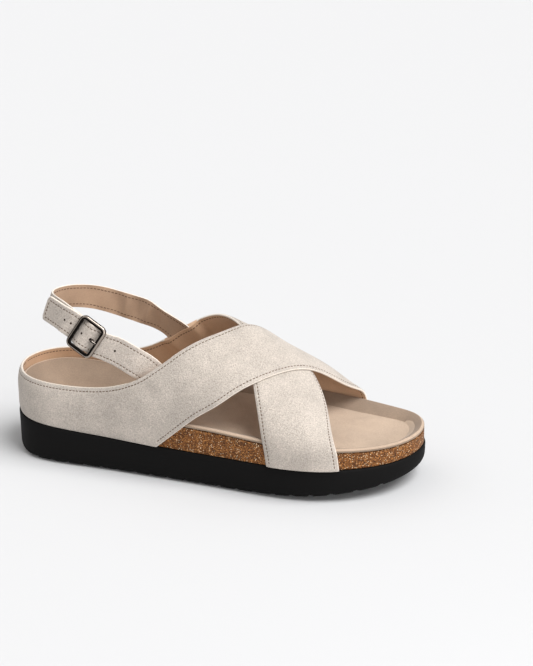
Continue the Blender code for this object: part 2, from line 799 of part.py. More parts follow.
def make_sling_strap():
    root, root_out = against_band(SLING_ROOT, LOOP_THICKNESS)
    deep, _ = against_band(SLING_DEEP, LOOP_THICKNESS)
    route = [deep, root] + [tuple(row) for row in SLING_ROWS]
    route.append(tuple(at_buckle(-11 * MM, 0, SLING_LAYER)))
    points = smooth(route, ROUTE_STEPS)
    frames = frames_along(points[:-1], 1, root_out)
    mesh = bmesh.new()
    sections = []
    for point, width, out, bow in frames:
        corners = strap_section(point, width, out, STRAP_WIDTH / 2, LOOP_THICKNESS / 2, bow)
        sections.append([mesh.verts.new(corner + ORIGIN) for corner in corners])
    profile = sling_end_profile()
    for i, (along, out) in enumerate(profile):
        ahead = Vector(profile[min(i + 1, len(profile) - 1)]) - Vector(profile[max(i - 1, 0)])
        ahead.normalize()
        point = at_buckle(along, 0, out)
        normal = BUCKLE_OUT * ahead.x - BUCKLE_ALONG * ahead.y
        half_width = STRAP_WIDTH / 2 - 0.3 * MM
        corners = strap_section(point, BUCKLE_ACROSS, normal, half_width, LOOP_THICKNESS / 2)
        sections.append([mesh.verts.new(corner + ORIGIN) for corner in corners])
    join_sections(mesh, sections)
    strap = finish("sling_strap", mesh)
    combine(strap, use_as_cutter(make_slit()), "DIFFERENCE")
    return strap


def box_at_buckle(name, low, high):
    """A block between two corners given in the buckle's own ways."""
    mesh = bmesh.new()
    sections = []
    for out in (low[2], high[2]):
        corners = ((low[0], low[1]), (high[0], low[1]), (high[0], high[1]), (low[0], high[1]))
        sections.append([mesh.verts.new(at_buckle(a, w, out) + ORIGIN) for a, w in corners])
    join_sections(mesh, sections)
    return finish(name, mesh)


def make_slit():
    """The slit in the sling's loop where the prong turns on the centre bar."""
    half = PRONG_RADIUS + 0.5 * MM
    reach = LOOP_OUTER + 1 * MM
    return box_at_buckle("prong_slit", (-3.0 * MM, -half, -reach), (reach, half, reach))


def billet_out(along):
    """How far the holed strap stands out: over the centre bar, under both sides."""
    near = max(0.0, 1 - (along / (BAR_TO_SIDE - BUCKLE_WIRE)) ** 2)
    free = max(0.0, -along - BUCKLE_LENGTH / 2) * FREE_END_SPREAD
    return BILLET_UNDER_SIDE + (BILLET_OVER_BAR - BILLET_UNDER_SIDE) * near**1.3 + free


def make_buckle_strap():
    root, root_out = against_band(BILLET_ROOT, STRAP_THICKNESS)
    deep, _ = against_band(BILLET_DEEP, STRAP_THICKNESS)
    at_bars = [at_buckle(a * MM, 0, billet_out(a * MM)) for a in BILLET_STATIONS]
    tip = Vector(tuple(BILLET_TIP))
    last = at_bars[-1]
    route = [deep, root] + [tuple(row) for row in BILLET_ROWS] + [tuple(at_bars[0])]
    points = list(smooth(route, ROUTE_STEPS)[:-1])
    points += [np.array(point) for point in at_bars]
    points += [np.array(last.lerp(tip, share)) for share in (0.4, 0.8, 1.0)]
    mesh = bmesh.new()
    sections = []
    for i, (point, width, out, bow) in enumerate(frames_along(points, -1, root_out)):
        half = STRAP_WIDTH / 2
        if i == len(points) - 1:
            half -= 1.2 * MM
        if (point - BUCKLE_ORIGIN).length < 14 * MM:
            width = BUCKLE_ACROSS
        corners = strap_section(point, width, out, half, STRAP_THICKNESS / 2, bow)
        sections.append([mesh.verts.new(corner + ORIGIN) for corner in corners])
    join_sections(mesh, sections)
    strap = finish("buckle_strap", mesh)
    combine(strap, use_as_cutter(make_hole_punches(last, tip)), "DIFFERENCE")
    combine(strap, use_as_cutter(make_prong_slot()), "DIFFERENCE")
    return strap


def punch(mesh, centre, out, along, radius, stretch):
    """An upright oval cutter through the strap."""
    across = out.cross(along).normalized()
    sections = []
    for depth in (-3 * MM, 3 * MM):
        section = []
        for k in range(10):
            angle = 2 * math.pi * k / 10
            reach = radius * math.cos(angle) + math.copysign(stretch, math.cos(angle))
            spot = centre + along * reach + across * radius * math.sin(angle) + out * depth
            section.append(mesh.verts.new(spot + ORIGIN))
        sections.append(section)
    join_sections(mesh, sections)


def make_hole_punches(last, tip):
    """Spare holes: two on the free end, one in the window, one before the buckle."""
    mesh = bmesh.new()
    free = (tip - last).normalized()
    punch(mesh, last + free * 2.5 * MM, BUCKLE_OUT, free, HOLE_RADIUS, 0)
    punch(mesh, last + free * (2.5 * MM - HOLE_PITCH * 0.55), BUCKLE_OUT, free, HOLE_RADIUS, 0)
    ahead = 14.5 * MM
    punch(mesh, at_buckle(ahead, 0, billet_out(ahead)), BUCKLE_OUT, BUCKLE_ALONG, HOLE_RADIUS, 0)
    return finish("hole_punches", mesh)


def make_prong_slot():
    mesh = bmesh.new()
    centre = at_buckle(PRONG_CROSSING, 0, billet_out(PRONG_CROSSING))
    stretch = PRONG_SLOT / 2 - HOLE_RADIUS
    punch(mesh, centre, BUCKLE_OUT, BUCKLE_ALONG, HOLE_RADIUS, stretch)
    return finish("prong_slot", mesh)


# Buckle
def tube(name, points, radius, closed=False):
    """A round bar along a route, as a mesh with its caps welded."""
    curve = bpy.data.curves.new(name, "CURVE")
    curve.dimensions = "3D"
    curve.bevel_depth = radius
    curve.bevel_resolution = 2
    curve.use_fill_caps = not closed
    line = curve.splines.new("POLY")
    line.points.add(len(points) - 1)
    for slot, point in zip(line.points, points):
        slot.co = (*(point + ORIGIN), 1)
    line.use_cyclic_u = closed
    guide = bpy.data.objects.new(name, curve)
    SANDAL.objects.link(guide)
    graph = bpy.context.evaluated_depsgraph_get()
    data = bpy.data.meshes.new_from_object(guide.evaluated_get(graph))
    bpy.data.objects.remove(guide)
    bpy.data.curves.remove(curve)
    mesh = bmesh.new()
    mesh.from_mesh(data)
    bpy.data.meshes.remove(data)
    bmesh.ops.remove_doubles(mesh, verts=mesh.verts, dist=1e-6)
    return finish(name, mesh)


def make_buckle_frame():
    corner = BUCKLE_CORNER
    points = []
    for quarter in range(4):
        sign_a = (1, -1, -1, 1)[quarter]
        sign_w = (1, 1, -1, -1)[quarter]
        for k in range(5):
            angle = math.pi / 2 * (quarter + k / 4)
            a = sign_a * (BAR_TO_SIDE - corner) + corner * math.cos(angle)
            w = sign_w * (RAIL_ACROSS - corner) + corner * math.sin(angle)
            points.append(at_buckle(a, w, BAR_DROP))
    frame = tube("buckle_frame", points, BUCKLE_WIRE, closed=True)
    bar = tube(
        "centre_bar",
        [
            at_buckle(0, -RAIL_ACROSS, BAR_DROP),
            at_buckle(0, -RAIL_ACROSS, 0.5 * MM),
            at_buckle(0, -RAIL_ACROSS + 0.5 * MM, 0),
            at_buckle(0, RAIL_ACROSS - 0.5 * MM, 0),
            at_buckle(0, RAIL_ACROSS, 0.5 * MM),
            at_buckle(0, RAIL_ACROSS, BAR_DROP),
        ],
        BAR_RADIUS,
    )
    combine(frame, use_as_cutter(bar), "UNION")
    return frame


def make_buckle_prong():
    """The prong: a ring on the centre bar and a pin through the strap to the side."""
    ring_points = []
    radius = LOOP_INNER + PRONG_RADIUS
    for k in range(12):
        angle = 2 * math.pi * k / 12
        ring_points.append(at_buckle(radius * math.cos(angle), 0, radius * math.sin(angle)))
    loop = tube("buckle_prong", ring_points, PRONG_RADIUS, closed=True)
    tip_out = BAR_DROP + BUCKLE_WIRE + SEAT_GAP + PRONG_RADIUS
    crossing = billet_out(PRONG_CROSSING)
    route = [
        at_buckle(radius * math.cos(math.radians(50)), 0, radius * math.sin(math.radians(50))),
        at_buckle(PRONG_CROSSING, 0, crossing),
        at_buckle(PRONG_CROSSING + 1.4 * MM, 0, tip_out - 0.25 * MM),
        at_buckle(BAR_TO_SIDE - 1 * MM, 0, tip_out),
        at_buckle(BAR_TO_SIDE + 0.8 * MM, 0, tip_out),
    ]
    pin = tube("prong_pin", route, PRONG_RADIUS)
    combine(loop, use_as_cutter(pin), "UNION")
    return loop


for old in list(bpy.data.objects):
    bpy.data.objects.remove(old)
SANDAL = bpy.data.collections.new("cross_strap_sandal")
CUTTERS = bpy.data.collections.new("cutters")
bpy.context.scene.collection.children.link(SANDAL)
bpy.context.scene.collection.children.link(CUTTERS)
CUTTERS.hide_render = True

FINISHES = (
    (make_outsole, new_material("black_foam_rubber", (0.010, 0.010, 0.010), 0.62)),
    (make_midsole, new_material("cork", (0.30, 0.14, 0.05), 0.80)),
    (make_insole, new_material("footbed_suede", (0.56, 0.42, 0.32), 0.92)),
    (make_upper, new_material("upper_suede", (0.62, 0.53, 0.46), 0.92)),
    (make_sling_strap, new_material("sling_suede", (0.58, 0.47, 0.38), 0.92)),
    (make_buckle_strap, new_material("strap_suede", (0.62, 0.53, 0.46), 0.92)),
    (make_buckle_frame, new_material("gunmetal", (0.06, 0.05, 0.045), 0.35, 1.0)),
    (make_buckle_prong, new_material("prong_gunmetal", (0.07, 0.06, 0.05), 0.35, 1.0)),
)
for make, material in FINISHES:
    make().data.materials.append(material)
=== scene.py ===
"""Looks of the right cross strap sandal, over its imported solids.

The forms repeat the sandal's own functions of named sizes at a finer step: places
along the sole are measured from the heel tip and moved to the row frame at the end.
"""

import math
from collections import namedtuple

import bmesh
import bpy
import numpy as np
from mathutils import Matrix, Vector


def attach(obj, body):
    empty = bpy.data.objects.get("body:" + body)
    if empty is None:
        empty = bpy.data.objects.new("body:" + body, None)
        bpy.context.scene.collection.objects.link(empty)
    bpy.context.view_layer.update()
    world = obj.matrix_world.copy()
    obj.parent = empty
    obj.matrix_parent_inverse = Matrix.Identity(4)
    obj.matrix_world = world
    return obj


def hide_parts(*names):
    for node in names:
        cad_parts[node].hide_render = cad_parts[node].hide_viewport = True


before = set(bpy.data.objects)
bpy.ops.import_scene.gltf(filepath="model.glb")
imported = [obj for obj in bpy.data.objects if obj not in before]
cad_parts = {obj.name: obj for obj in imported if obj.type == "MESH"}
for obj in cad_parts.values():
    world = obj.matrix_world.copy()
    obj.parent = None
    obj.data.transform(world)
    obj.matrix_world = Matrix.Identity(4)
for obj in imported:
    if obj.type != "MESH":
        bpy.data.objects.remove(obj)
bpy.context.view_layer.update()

MM = 0.001

# Sole sizes
SOLE_LENGTH = 255 * MM
BALL_WIDTH = 90 * MM
OUTSOLE_HEEL_HEIGHT = 26 * MM
RIM_HEEL_HEIGHT = 42.8 * MM
TOE_SPRING = 9.4 * MM
SPRING_START = 146 * MM
CORK_INSET = 0.8 * MM
CORK_INSET_AT_HEEL = 2.4 * MM
FOOTBED_THICKNESS = 1.8 * MM
FOOTBED_RIM_WIDTH = 3.2 * MM
FOOTBED_SLOPE_WIDTH = 10 * MM
BORDER_START = FOOTBED_RIM_WIDTH * 0.55
FOOTBED_RIM_ROUNDING = 0.8 * MM
HEEL_CUP_DEPTH = 8 * MM
HEEL_LIP = 3.6 * MM
ARCH_HEIGHT = 4.5 * MM
ARCH_PLACE = 0.43
ARCH_REACH = 0.13
LUG_PITCH = 11.4 * MM
LUG_GROOVE_DEPTH = 1.9 * MM
LUG_GROOVE_WIDTH = 4.4 * MM
LUG_WAVE = 2.5 * MM

# Upper sizes
INSTEP_HEIGHT = 97 * MM
WALL = 2.0 * MM
RIDGE_LEAN = 7.0 * MM
ARCH_FULLNESS = 1.66
WALL_SHARE = 0.86
HEEL_TURN = 34 * MM

# Strap and buckle sizes
STRAP_WIDTH = 15.4 * MM
STRAP_THICKNESS = 1.8 * MM
STRAP_LEAN = math.radians(14)
BUCKLE_WIRE = 1.05 * MM
BUCKLE_LENGTH = 15.8 * MM
BUCKLE_RAIL_GAP = 0.7 * MM
BAR_RADIUS = 0.95 * MM
BAR_DROP = 2.9 * MM
LOOP_THICKNESS = 1.2 * MM
ROOT_BOW = 0.8 * MM
FREE_END_SPREAD = 0.12
FOLD_LENGTH = 15 * MM
SLING_SPREAD = 0.8 * MM
WINDOW_SPREAD = 0.38 * MM
PAST_BUCKLE_SPREAD = 0.6 * MM
LOOP_NARROWING = 0.3 * MM
STRAP_CROWN = 0.12 * MM
TIP_CORNER = 1.8 * MM
HOLE_RADIUS = 0.7 * MM
USED_HOLE = (0.95 * MM, 0.4 * MM)
HOLE_BOTTOM = 0.6 * MM
SPARE_HOLE = 19.5 * MM
PRONG_CROSSING = 4.4 * MM
PRONG_RADIUS = 0.62 * MM
PRONG_TIP_RADIUS = 0.85 * MM
SEAT_GAP = 0.3 * MM

LOOP_INNER = BAR_RADIUS + SEAT_GAP
LOOP_MIDDLE = LOOP_INNER + LOOP_THICKNESS / 2
LOOP_OUTER = LOOP_INNER + LOOP_THICKNESS
BILLET_OVER_BAR = LOOP_OUTER + SEAT_GAP + STRAP_THICKNESS / 2
BILLET_UNDER_SIDE = BAR_DROP - BUCKLE_WIRE - SEAT_GAP - STRAP_THICKNESS / 2
SLING_LAYER = BILLET_UNDER_SIDE - STRAP_THICKNESS / 2 - SEAT_GAP - LOOP_THICKNESS / 2
FOLD_LAYER = SLING_LAYER - LOOP_THICKNESS - SEAT_GAP
BAR_TO_SIDE = BUCKLE_LENGTH / 2 - BUCKLE_WIRE
RAIL_ACROSS = STRAP_WIDTH / 2 + BUCKLE_RAIL_GAP + BUCKLE_WIRE

Outline = namedtuple("Outline", "along outer inner")
OUTLINE = (
    Outline(0.000, 0.008, 0.008),
    Outline(0.031, -0.244, 0.252),
    Outline(0.098, -0.363, 0.367),
    Outline(0.235, -0.394, 0.374),
    Outline(0.392, -0.424, 0.383),
    Outline(0.549, -0.461, 0.442),
    Outline(0.686, -0.501, 0.496),
    Outline(0.804, -0.486, 0.468),
    Outline(0.910, -0.354, 0.396),
    Outline(0.973, -0.169, 0.312),
    Outline(1.000, 0.092, 0.092),
)
Height = namedtuple("Height", "along ledge rim cup")
HEIGHTS = (
    Height(0.000, 1.000, 1.000, 1.00),
    Height(0.235, 0.846, 0.916, 1.00),
    Height(0.510, 0.773, 0.876, 0.62),
    Height(0.745, 0.765, 0.797, 0.55),
    Height(1.000, 0.788, 0.741, 0.60),
)
Ridge = namedtuple("Ridge", "along height")
RIDGE = (
    Ridge(0.000, 0.885),
    Ridge(0.235, 0.885),
    Ridge(0.353, 0.975),
    Ridge(0.451, 0.997),
    Ridge(0.529, 0.911),
    Ridge(0.588, 0.840),
    Ridge(0.647, 0.741),
    Ridge(0.745, 0.596),
    Ridge(0.843, 0.400),
    Ridge(1.000, 0.390),
)
Band = namedtuple("Band", "front front_round rear rear_round")
OVER_BAND = (
    Band(0.000, -1.00, 0.000, -0.700),
    Band(0.067, -1.00, 0.067, -0.698),
    Band(0.134, -1.00, 0.134, -0.695),
    Band(0.200, -1.00, 0.200, -0.689),
    Band(0.300, -1.00, 0.276, -0.670),
    Band(0.404, -1.00, 0.345, -0.625),
    Band(0.508, -0.80, 0.402, -0.545),
    Band(0.579, -0.60, 0.455, -0.430),
    Band(0.638, -0.40, 0.507, -0.290),
    Band(0.691, -0.20, 0.543, -0.150),
    Band(0.736, 0.00, 0.567, 0.000),
    Band(0.775, 0.20, 0.592, 0.200),
    Band(0.803, 0.40, 0.619, 0.400),
    Band(0.820, 0.60, 0.647, 0.600),
    Band(0.828, 0.80, 0.669, 0.800),
    Band(0.832, 1.00, 0.685, 1.000),
)
UNDER_BAND = (
    Band(0.000, -1.00, 0.000, -0.700),
    Band(0.067, -1.00, 0.067, -0.697),
    Band(0.134, -1.00, 0.134, -0.688),
    Band(0.200, -1.00, 0.200, -0.671),
    Band(0.300, -1.00, 0.268, -0.632),
    Band(0.400, -1.00, 0.325, -0.574),
    Band(0.499, -0.80, 0.380, -0.480),
    Band(0.578, -0.60, 0.438, -0.378),
    Band(0.638, -0.40, 0.492, -0.250),
    Band(0.685, -0.20, 0.531, -0.120),
    Band(0.727, 0.00, 0.559, 0.000),
    Band(0.775, 0.20, 0.594, 0.200),
    Band(0.805, 0.40, 0.623, 0.400),
    Band(0.826, 0.60, 0.653, 0.600),
    Band(0.838, 0.80, 0.670, 0.800),
    Band(0.846, 1.00, 0.683, 1.000),
)
CORNER_ROW = 5

StrapRow = namedtuple("StrapRow", "along across height")
SLING_ROWS = (
    StrapRow(78.5 * MM, 28.9 * MM, 78.1 * MM),
    StrapRow(68.9 * MM, 28.8 * MM, 81.1 * MM),
    StrapRow(56.3 * MM, 27.2 * MM, 84.7 * MM),
    StrapRow(44.4 * MM, 23.7 * MM, 88.4 * MM),
    StrapRow(34.5 * MM, 17.4 * MM, 91.0 * MM),
    StrapRow(27.3 * MM, 9.6 * MM, 92.4 * MM),
    StrapRow(23.8 * MM, 0.0 * MM, 93.0 * MM),
    StrapRow(25.6 * MM, -9.2 * MM, 93.6 * MM),
    StrapRow(31.5 * MM, -17.4 * MM, 94.2 * MM),
    StrapRow(39.0 * MM, -22.8 * MM, 93.2 * MM),
)
SLING_ROOT = StrapRow(93.3 * MM, 1, 72.4 * MM)
SLING_DEEP = StrapRow(103.0 * MM, 1, 61.0 * MM)
BUCKLE_CENTRE = StrapRow(57.5 * MM, -28.0 * MM, 83.2 * MM)
BUCKLE_AIM = (0.853, -0.080, -0.515)
BILLET_TIP = StrapRow(28.4 * MM, -20.6 * MM, 95.6 * MM)
BILLET_ROWS = (
    StrapRow(87.0 * MM, -28.4 * MM, 69.6 * MM),
    StrapRow(76.5 * MM, -28.9 * MM, 75.1 * MM),
)
BILLET_ROOT = StrapRow(95.5 * MM, -1, 64.6 * MM)
BILLET_DEEP = StrapRow(107.0 * MM, -1, 56.4 * MM)

# Fine meshes, stitches and cork
GRAIN = 1.0 * MM
EDGE_STEPS = 24
WALL_STEPS = 2 * EDGE_STEPS
ACROSS_SAMPLES = 97
ROUTE_STEPS = 12
NEAR_EDGE = np.array((0.0, 0.25, 0.6, 1.1, 1.6, 1.95, 2.25, 2.55, 2.9, 3.5, 4.4)) * MM
STITCH_COLUMN = 6
STITCH_INSET = 2.25 * MM
STITCH_PITCH = 2.2 * MM
THREAD_LENGTH = 1.10 * MM
THREAD_RADIUS = 0.33 * MM
BEAD_SIDES, BEAD_RINGS = 6, 4
COVER_GAP = 0.35 * MM
COVER_REACH = 8.5 * MM
COVER_FADE = 7.4 * MM
EDGE_ROUNDING = 0.22 * MM
EDGE_ROUNDING_REACH = 0.9 * MM
EDGE_THIN = 0.55 * MM
EDGE_THIN_REACH = 4.5 * MM
STITCH_SUNK = 0.13 * MM
STITCH_SUNK_REACH = 0.7 * MM
CORK_GRANULE = 0.62 * MM
CORK_TINTS = (
    (0.0, (0.040, 0.014, 0.004)),
    (0.30, (0.118, 0.041, 0.009)),
    (0.75, (0.215, 0.082, 0.020)),
    (1.0, (0.41, 0.180, 0.054)),
)

SHIFT = np.array((-SOLE_LENGTH / 2, 0, 0))


def smooth(rows, steps, closed=False):
    """A spline through the rows, with this many steps in each span."""
    points = np.array(rows, float)
    count = len(points)
    ahead = np.roll(points, -1, axis=0)
    spans = np.sqrt(np.linalg.norm(ahead - points, axis=1))
    slopes = np.zeros((count, count))
    right = np.zeros_like(points)
    for i in range(count):
        before, after = spans[i - 1], spans[i]
        if closed or 0 < i < count - 1:
            slopes[i, i - 1] = after
            slopes[i, i] = 2 * (before + after)
            slopes[i, (i + 1) % count] = before
            right[i] = 3 * after * (points[i] - points[i - 1]) / before
            right[i] += 3 * before * (ahead[i] - points[i]) / after
        else:
            other = 1 if i == 0 else count - 2
            span = spans[min(i, other)]
            slopes[i, i] = 2
            slopes[i, other] = 1
            right[i] = 3 * (points[max(i, other)] - points[min(i, other)]) / span
    tangents = np.linalg.solve(slopes, right)
    found = []
    for i in range(count if closed else count - 1):
        j = (i + 1) % count
        for t in np.arange(steps) / steps:
            found.append(
                (2 * t**3 - 3 * t**2 + 1) * points[i]
                + (3 * t**2 - 2 * t**3) * points[j]
                + (t**3 - 2 * t**2 + t) * spans[i] * tangents[i]
                + (t**3 - t**2) * spans[i] * tangents[j]
            )
    if not closed:
        found.append(points[-1])
    return np.array(found)


def ease(share):
    share = np.clip(share, 0.0, 1.0)
    return share * share * (3 - 2 * share)


def column(table, name, size):
    """One column of a table of shares of this size, as a function of the place along."""
    curve = smooth([(row.along, getattr(row, name)) for row in table], 24)
    return lambda x: np.interp(np.asarray(x) / SOLE_LENGTH, curve[:, 0], curve[:, 1]) * size


def outline_sides():
    outer = [(r.along * SOLE_LENGTH, r.outer * BALL_WIDTH) for r in OUTLINE]
    inner = [(r.along * SOLE_LENGTH, r.inner * BALL_WIDTH) for r in OUTLINE]
    loop = smooth(outer + inner[-2:0:-1], 48, closed=True)
    toe = int(np.argmax(loop[:, 0]))
    heel = int(np.argmin(loop[:, 0]))
    loop = np.roll(loop, -heel, axis=0)
    toe = (toe - heel) % len(loop)
    back = np.vstack([loop[toe:], loop[:1]])[::-1]
    return loop[: toe + 1], back


OUTER_SIDE, INNER_SIDE = outline_sides()
OUTLINE_LOOP = np.vstack([OUTER_SIDE, INNER_SIDE[-2:0:-1]])
ledge = column(HEIGHTS, "ledge", OUTSOLE_HEEL_HEIGHT)
rim = column(HEIGHTS, "rim", RIM_HEEL_HEIGHT)
cup = column(HEIGHTS, "cup", HEEL_CUP_DEPTH)
ridge = column(RIDGE, "height", INSTEP_HEIGHT)


def side_at(x, side):
    outer = np.interp(x, OUTER_SIDE[:, 0], OUTER_SIDE[:, 1])
    inner = np.interp(x, INNER_SIDE[:, 0], INNER_SIDE[:, 1])
    return np.where(np.asarray(side) > 0, inner, outer)


def middle(x):
    return (side_at(x, 1) + side_at(x, -1)) / 2


def spring(x):
    ahead = np.clip(np.asarray(x) - SPRING_START, 0, None)
    return TOE_SPRING * (ahead / (SOLE_LENGTH - SPRING_START)) ** 2


def cork_inset(x):
    forward = ease((np.asarray(x) / SOLE_LENGTH - 0.24) / 0.24)
    return CORK_INSET_AT_HEEL + (CORK_INSET - CORK_INSET_AT_HEEL) * forward


def edge_distance(x, y):
    """How far inside the sole's outline each place lies, worked out in batches."""
    places = np.stack([x, y], axis=1)
    found, batch = np.empty(len(places)), 2000
    for i in range(0, len(places), batch):
        gaps = OUTLINE_LOOP[None] - places[i : i + batch, None]
        found[i : i + batch] = np.sqrt((gaps**2).sum(axis=2).min(axis=1))
    return found


def footbed_height(x, y, depth, inside):
    """The footbed this far from its edge, where inside is how much of cup and arch is reached."""
    crown = ease(depth / (FOOTBED_RIM_WIDTH / 2))
    arch = np.exp(-(((x / SOLE_LENGTH - ARCH_PLACE) / ARCH_REACH) ** 2))
    arch = arch * ease((y - middle(x)) / (BALL_WIDTH / 2) / 0.9)
    height = rim(x) - FOOTBED_RIM_ROUNDING * (1 - crown)
    return height - inside * cup(x) + inside * arch * ARCH_HEIGHT


def footbed(x, y):
    depth = edge_distance(x, y) - cork_inset(x)
    return footbed_height(x, y, depth, ease((depth - FOOTBED_RIM_WIDTH) / FOOTBED_SLOPE_WIDTH))


def unit(vectors):
    return vectors / np.maximum(np.linalg.norm(vectors, axis=-1, keepdims=True), 1e-12)


def travelled(points):
    """How far each point lies along its line."""
    return np.concatenate([[0], np.cumsum(np.linalg.norm(np.diff(points, axis=0), axis=1))])


def read_at(wanted, places, values):
    """Rows of values at the wanted places, between those at the known places."""
    return np.stack([np.interp(wanted, places, line) for line in values.T], axis=1)


def resample(points, places):
    """Points at these lengths along a line."""
    return read_at(places, travelled(points), points)


# Last, whose surface is the upper's lining
def heel_fan():
    centre = np.array((HEEL_TURN, float(middle(HEEL_TURN))))
    behind = OUTLINE_LOOP[OUTLINE_LOOP[:, 0] < HEEL_TURN + 8 * MM] - centre
    angles = np.arctan2(behind[:, 1], -behind[:, 0])
    order = np.argsort(angles)
    return angles[order], np.hypot(*behind[order].T)


HEEL_ANGLES, HEEL_REACHES = heel_fan()


def last_points(x, turn):
    """Points of the last: the turn goes from -1 at the outer edge, over 0 on top, to 1."""
    x, turn = np.broadcast_arrays(np.asarray(x, float), np.asarray(turn, float))
    side = np.where(turn < 0, -1.0, 1.0)
    ahead = x >= HEEL_TURN
    centre_x = np.where(ahead, x, HEEL_TURN)
    centre_y = middle(centre_x)
    quarter = np.clip(1 - x / HEEL_TURN, 0, None) * math.pi / 2
    way_x, way_y = -np.sin(quarter), side * np.cos(quarter)
    fan = np.interp(np.arctan2(way_y, -way_x), HEEL_ANGLES, HEEL_REACHES)
    reach = np.where(ahead, np.abs(side_at(x, side) - centre_y), fan)
    base_x = np.where(ahead, x, centre_x + way_x * reach)
    reach = reach - cork_inset(base_x) + SEAT_GAP
    low, shoulder = ledge(base_x) + SEAT_GAP, rim(base_x)
    size = np.abs(turn)
    angle = np.clip(1 - size / WALL_SHARE, 0, 1) * math.pi / 2
    rise = np.sin(angle) ** (2 / ARCH_FULLNESS)
    out = reach * np.clip(np.cos(angle), 0, None) ** (2 / ARCH_FULLNESS)
    height = shoulder + (ridge(base_x) - shoulder) * rise
    lean = RIDGE_LEAN * ease((x / SOLE_LENGTH - 0.157) / 0.235) * rise**1.5
    wall = size >= WALL_SHARE
    wall_height = low + (shoulder - low) * (1 - size) / (1 - WALL_SHARE)
    out = np.where(wall, reach, out)
    height = np.where(wall, wall_height, height)
    lean = np.where(wall, 0.0, lean)
    return np.stack([centre_x + way_x * out, centre_y + way_y * out + lean, height], axis=-1)


def last_normals(x, turn):
    x, turn = np.broadcast_arrays(np.asarray(x, float), np.asarray(turn, float))
    step = 0.006
    low, high = np.maximum(turn - step, -1.0), np.minimum(turn + step, 1.0)
    crease = np.abs(np.abs(turn) - WALL_SHARE) < step
    low = np.where(crease & (turn < 0), turn, low)
    high = np.where(crease & (turn >= 0), turn, high)
    across_ridge = (low < 0) & (high > 0)
    low, high = np.where(across_ridge, -step, low), np.where(across_ridge, step, high)
    across = last_points(x, high) - last_points(x, low)
    forward = last_points(x + 1.0 * MM, turn) - last_points(np.maximum(x - 1.0 * MM, 0), turn)
    normal = np.cross(forward, across)
    home_x = np.maximum(x, HEEL_TURN)
    home = np.stack([home_x, middle(home_x), rim(x)], axis=-1)
    facing = ((last_points(x, turn) - home) * normal).sum(-1, keepdims=True)
    return unit(np.where(facing < 0, -normal, normal))


def over_lift(x, turn):
    from_heel = ease((x / SOLE_LENGTH - 0.15) / 0.20)
    return (WALL + SEAT_GAP) * from_heel * ease((0.80 - np.abs(turn)) / 0.25)


def no_lift(x, _):
    return np.zeros_like(x)


# Meshes
def grid_faces(rows, columns, wrap_rows=False, wrap_columns=False):
    """Quads of a grid of vertices in row order; wrapping joins the last ones to the first."""
    i = np.arange(rows if wrap_rows else rows - 1)[:, None]
    k = np.arange(columns if wrap_columns else columns - 1)[None, :]
    j, m = (i + 1) % rows, (k + 1) % columns
    quads = [i * columns + k, i * columns + m, j * columns + m, j * columns + k]
    return np.stack([q.ravel() for q in np.broadcast_arrays(*quads)], axis=1)


def linked(name, data):
    made = bpy.data.objects.new(name, data)
    bpy.context.scene.collection.objects.link(made)
    return made


def new_object(name, points, faces, materials, kinds, sharp=None):
    """A mesh with a material by face. A closed one has an angle over which its edges are sharp."""
    data = bpy.data.meshes.new(name)
    placed = np.asarray(points, float) + SHIFT
    data.from_pydata([tuple(p) for p in placed], [], [tuple(int(v) for v in f) for f in faces])
    for material in materials:
        data.materials.append(material)
    data.polygons.foreach_set("material_index", np.asarray(kinds, np.int32))
    data.validate()
    data.shade_smooth()
    if sharp:
        mesh = bmesh.new()
        mesh.from_mesh(data)
        bmesh.ops.recalc_face_normals(mesh, faces=mesh.faces)
        mesh.to_mesh(data)
        mesh.free()
        data.set_sharp_from_angle(angle=math.radians(sharp))
    return linked(name, data)


def slab(name, inner, normals, thickness, skin, lining, bevel=0.35 * MM):
    """A sheet over a grid: skin outside, lining inside and raw edges, lined where they are thick."""
    rows, columns = inner.shape[:2]
    outer = inner + normals * thickness[..., None]
    border = [(0, k) for k in range(columns)]
    border += [(i, columns - 1) for i in range(1, rows)]
    border += [(rows - 1, k) for k in range(columns - 2, -1, -1)]
    border += [(i, 0) for i in range(rows - 2, 0, -1)]
    i, k = np.array(border).T
    low, high = inner[i, k], outer[i, k]
    side = np.cross(normals[i, k], unit(np.roll(low, -1, axis=0) - np.roll(low, 1, axis=0)))
    inwards = inner[np.clip(i, 1, rows - 2), np.clip(k, 1, columns - 2)] - low
    side = np.where((side * inwards).sum(1, keepdims=True) > 0, -side, side)
    base, steps = rows * columns, 4
    points = [inner.reshape(-1, 3), outer.reshape(-1, 3)]
    levels = [i * columns + k]
    for step in range(1, steps):
        bulge = math.sin(math.pi * step / steps) * bevel
        points.append(low + (high - low) * step / steps + side * bulge)
        levels.append(2 * base + (step - 1) * len(border) + np.arange(len(border)))
    levels.append(base + levels[0])
    sheet = grid_faces(rows, columns)
    faces = [sheet + base, sheet]
    for one, other in zip(levels, levels[1:]):
        faces.append(np.stack([one, np.roll(one, -1), np.roll(other, -1), other], axis=1))
    lined = np.linalg.norm(high - low, axis=1) > WALL * 1.2
    kinds = np.concatenate([np.zeros(len(sheet)), np.ones(len(sheet)), np.tile(np.where(lined, 1, 2), steps)])
    materials = [skin, lining, RAW_EDGE]
    return new_object(name, np.vstack(points), np.vstack(faces), materials, kinds, sharp=50)


def across_places(lengths, count):
    """For each section's length, count places from edge to edge, finer at the edges."""
    inner = count - 2 * len(NEAR_EDGE)
    share = (np.arange(inner) + 1) / (inner + 1)
    places = []
    for length in lengths:
        near = NEAR_EDGE * min(1.0, 0.4 * length / NEAR_EDGE[-1])
        far = length - near[::-1]
        places.append(np.concatenate([near, near[-1] + (far[0] - near[-1]) * share, far]))
    return np.array(places)


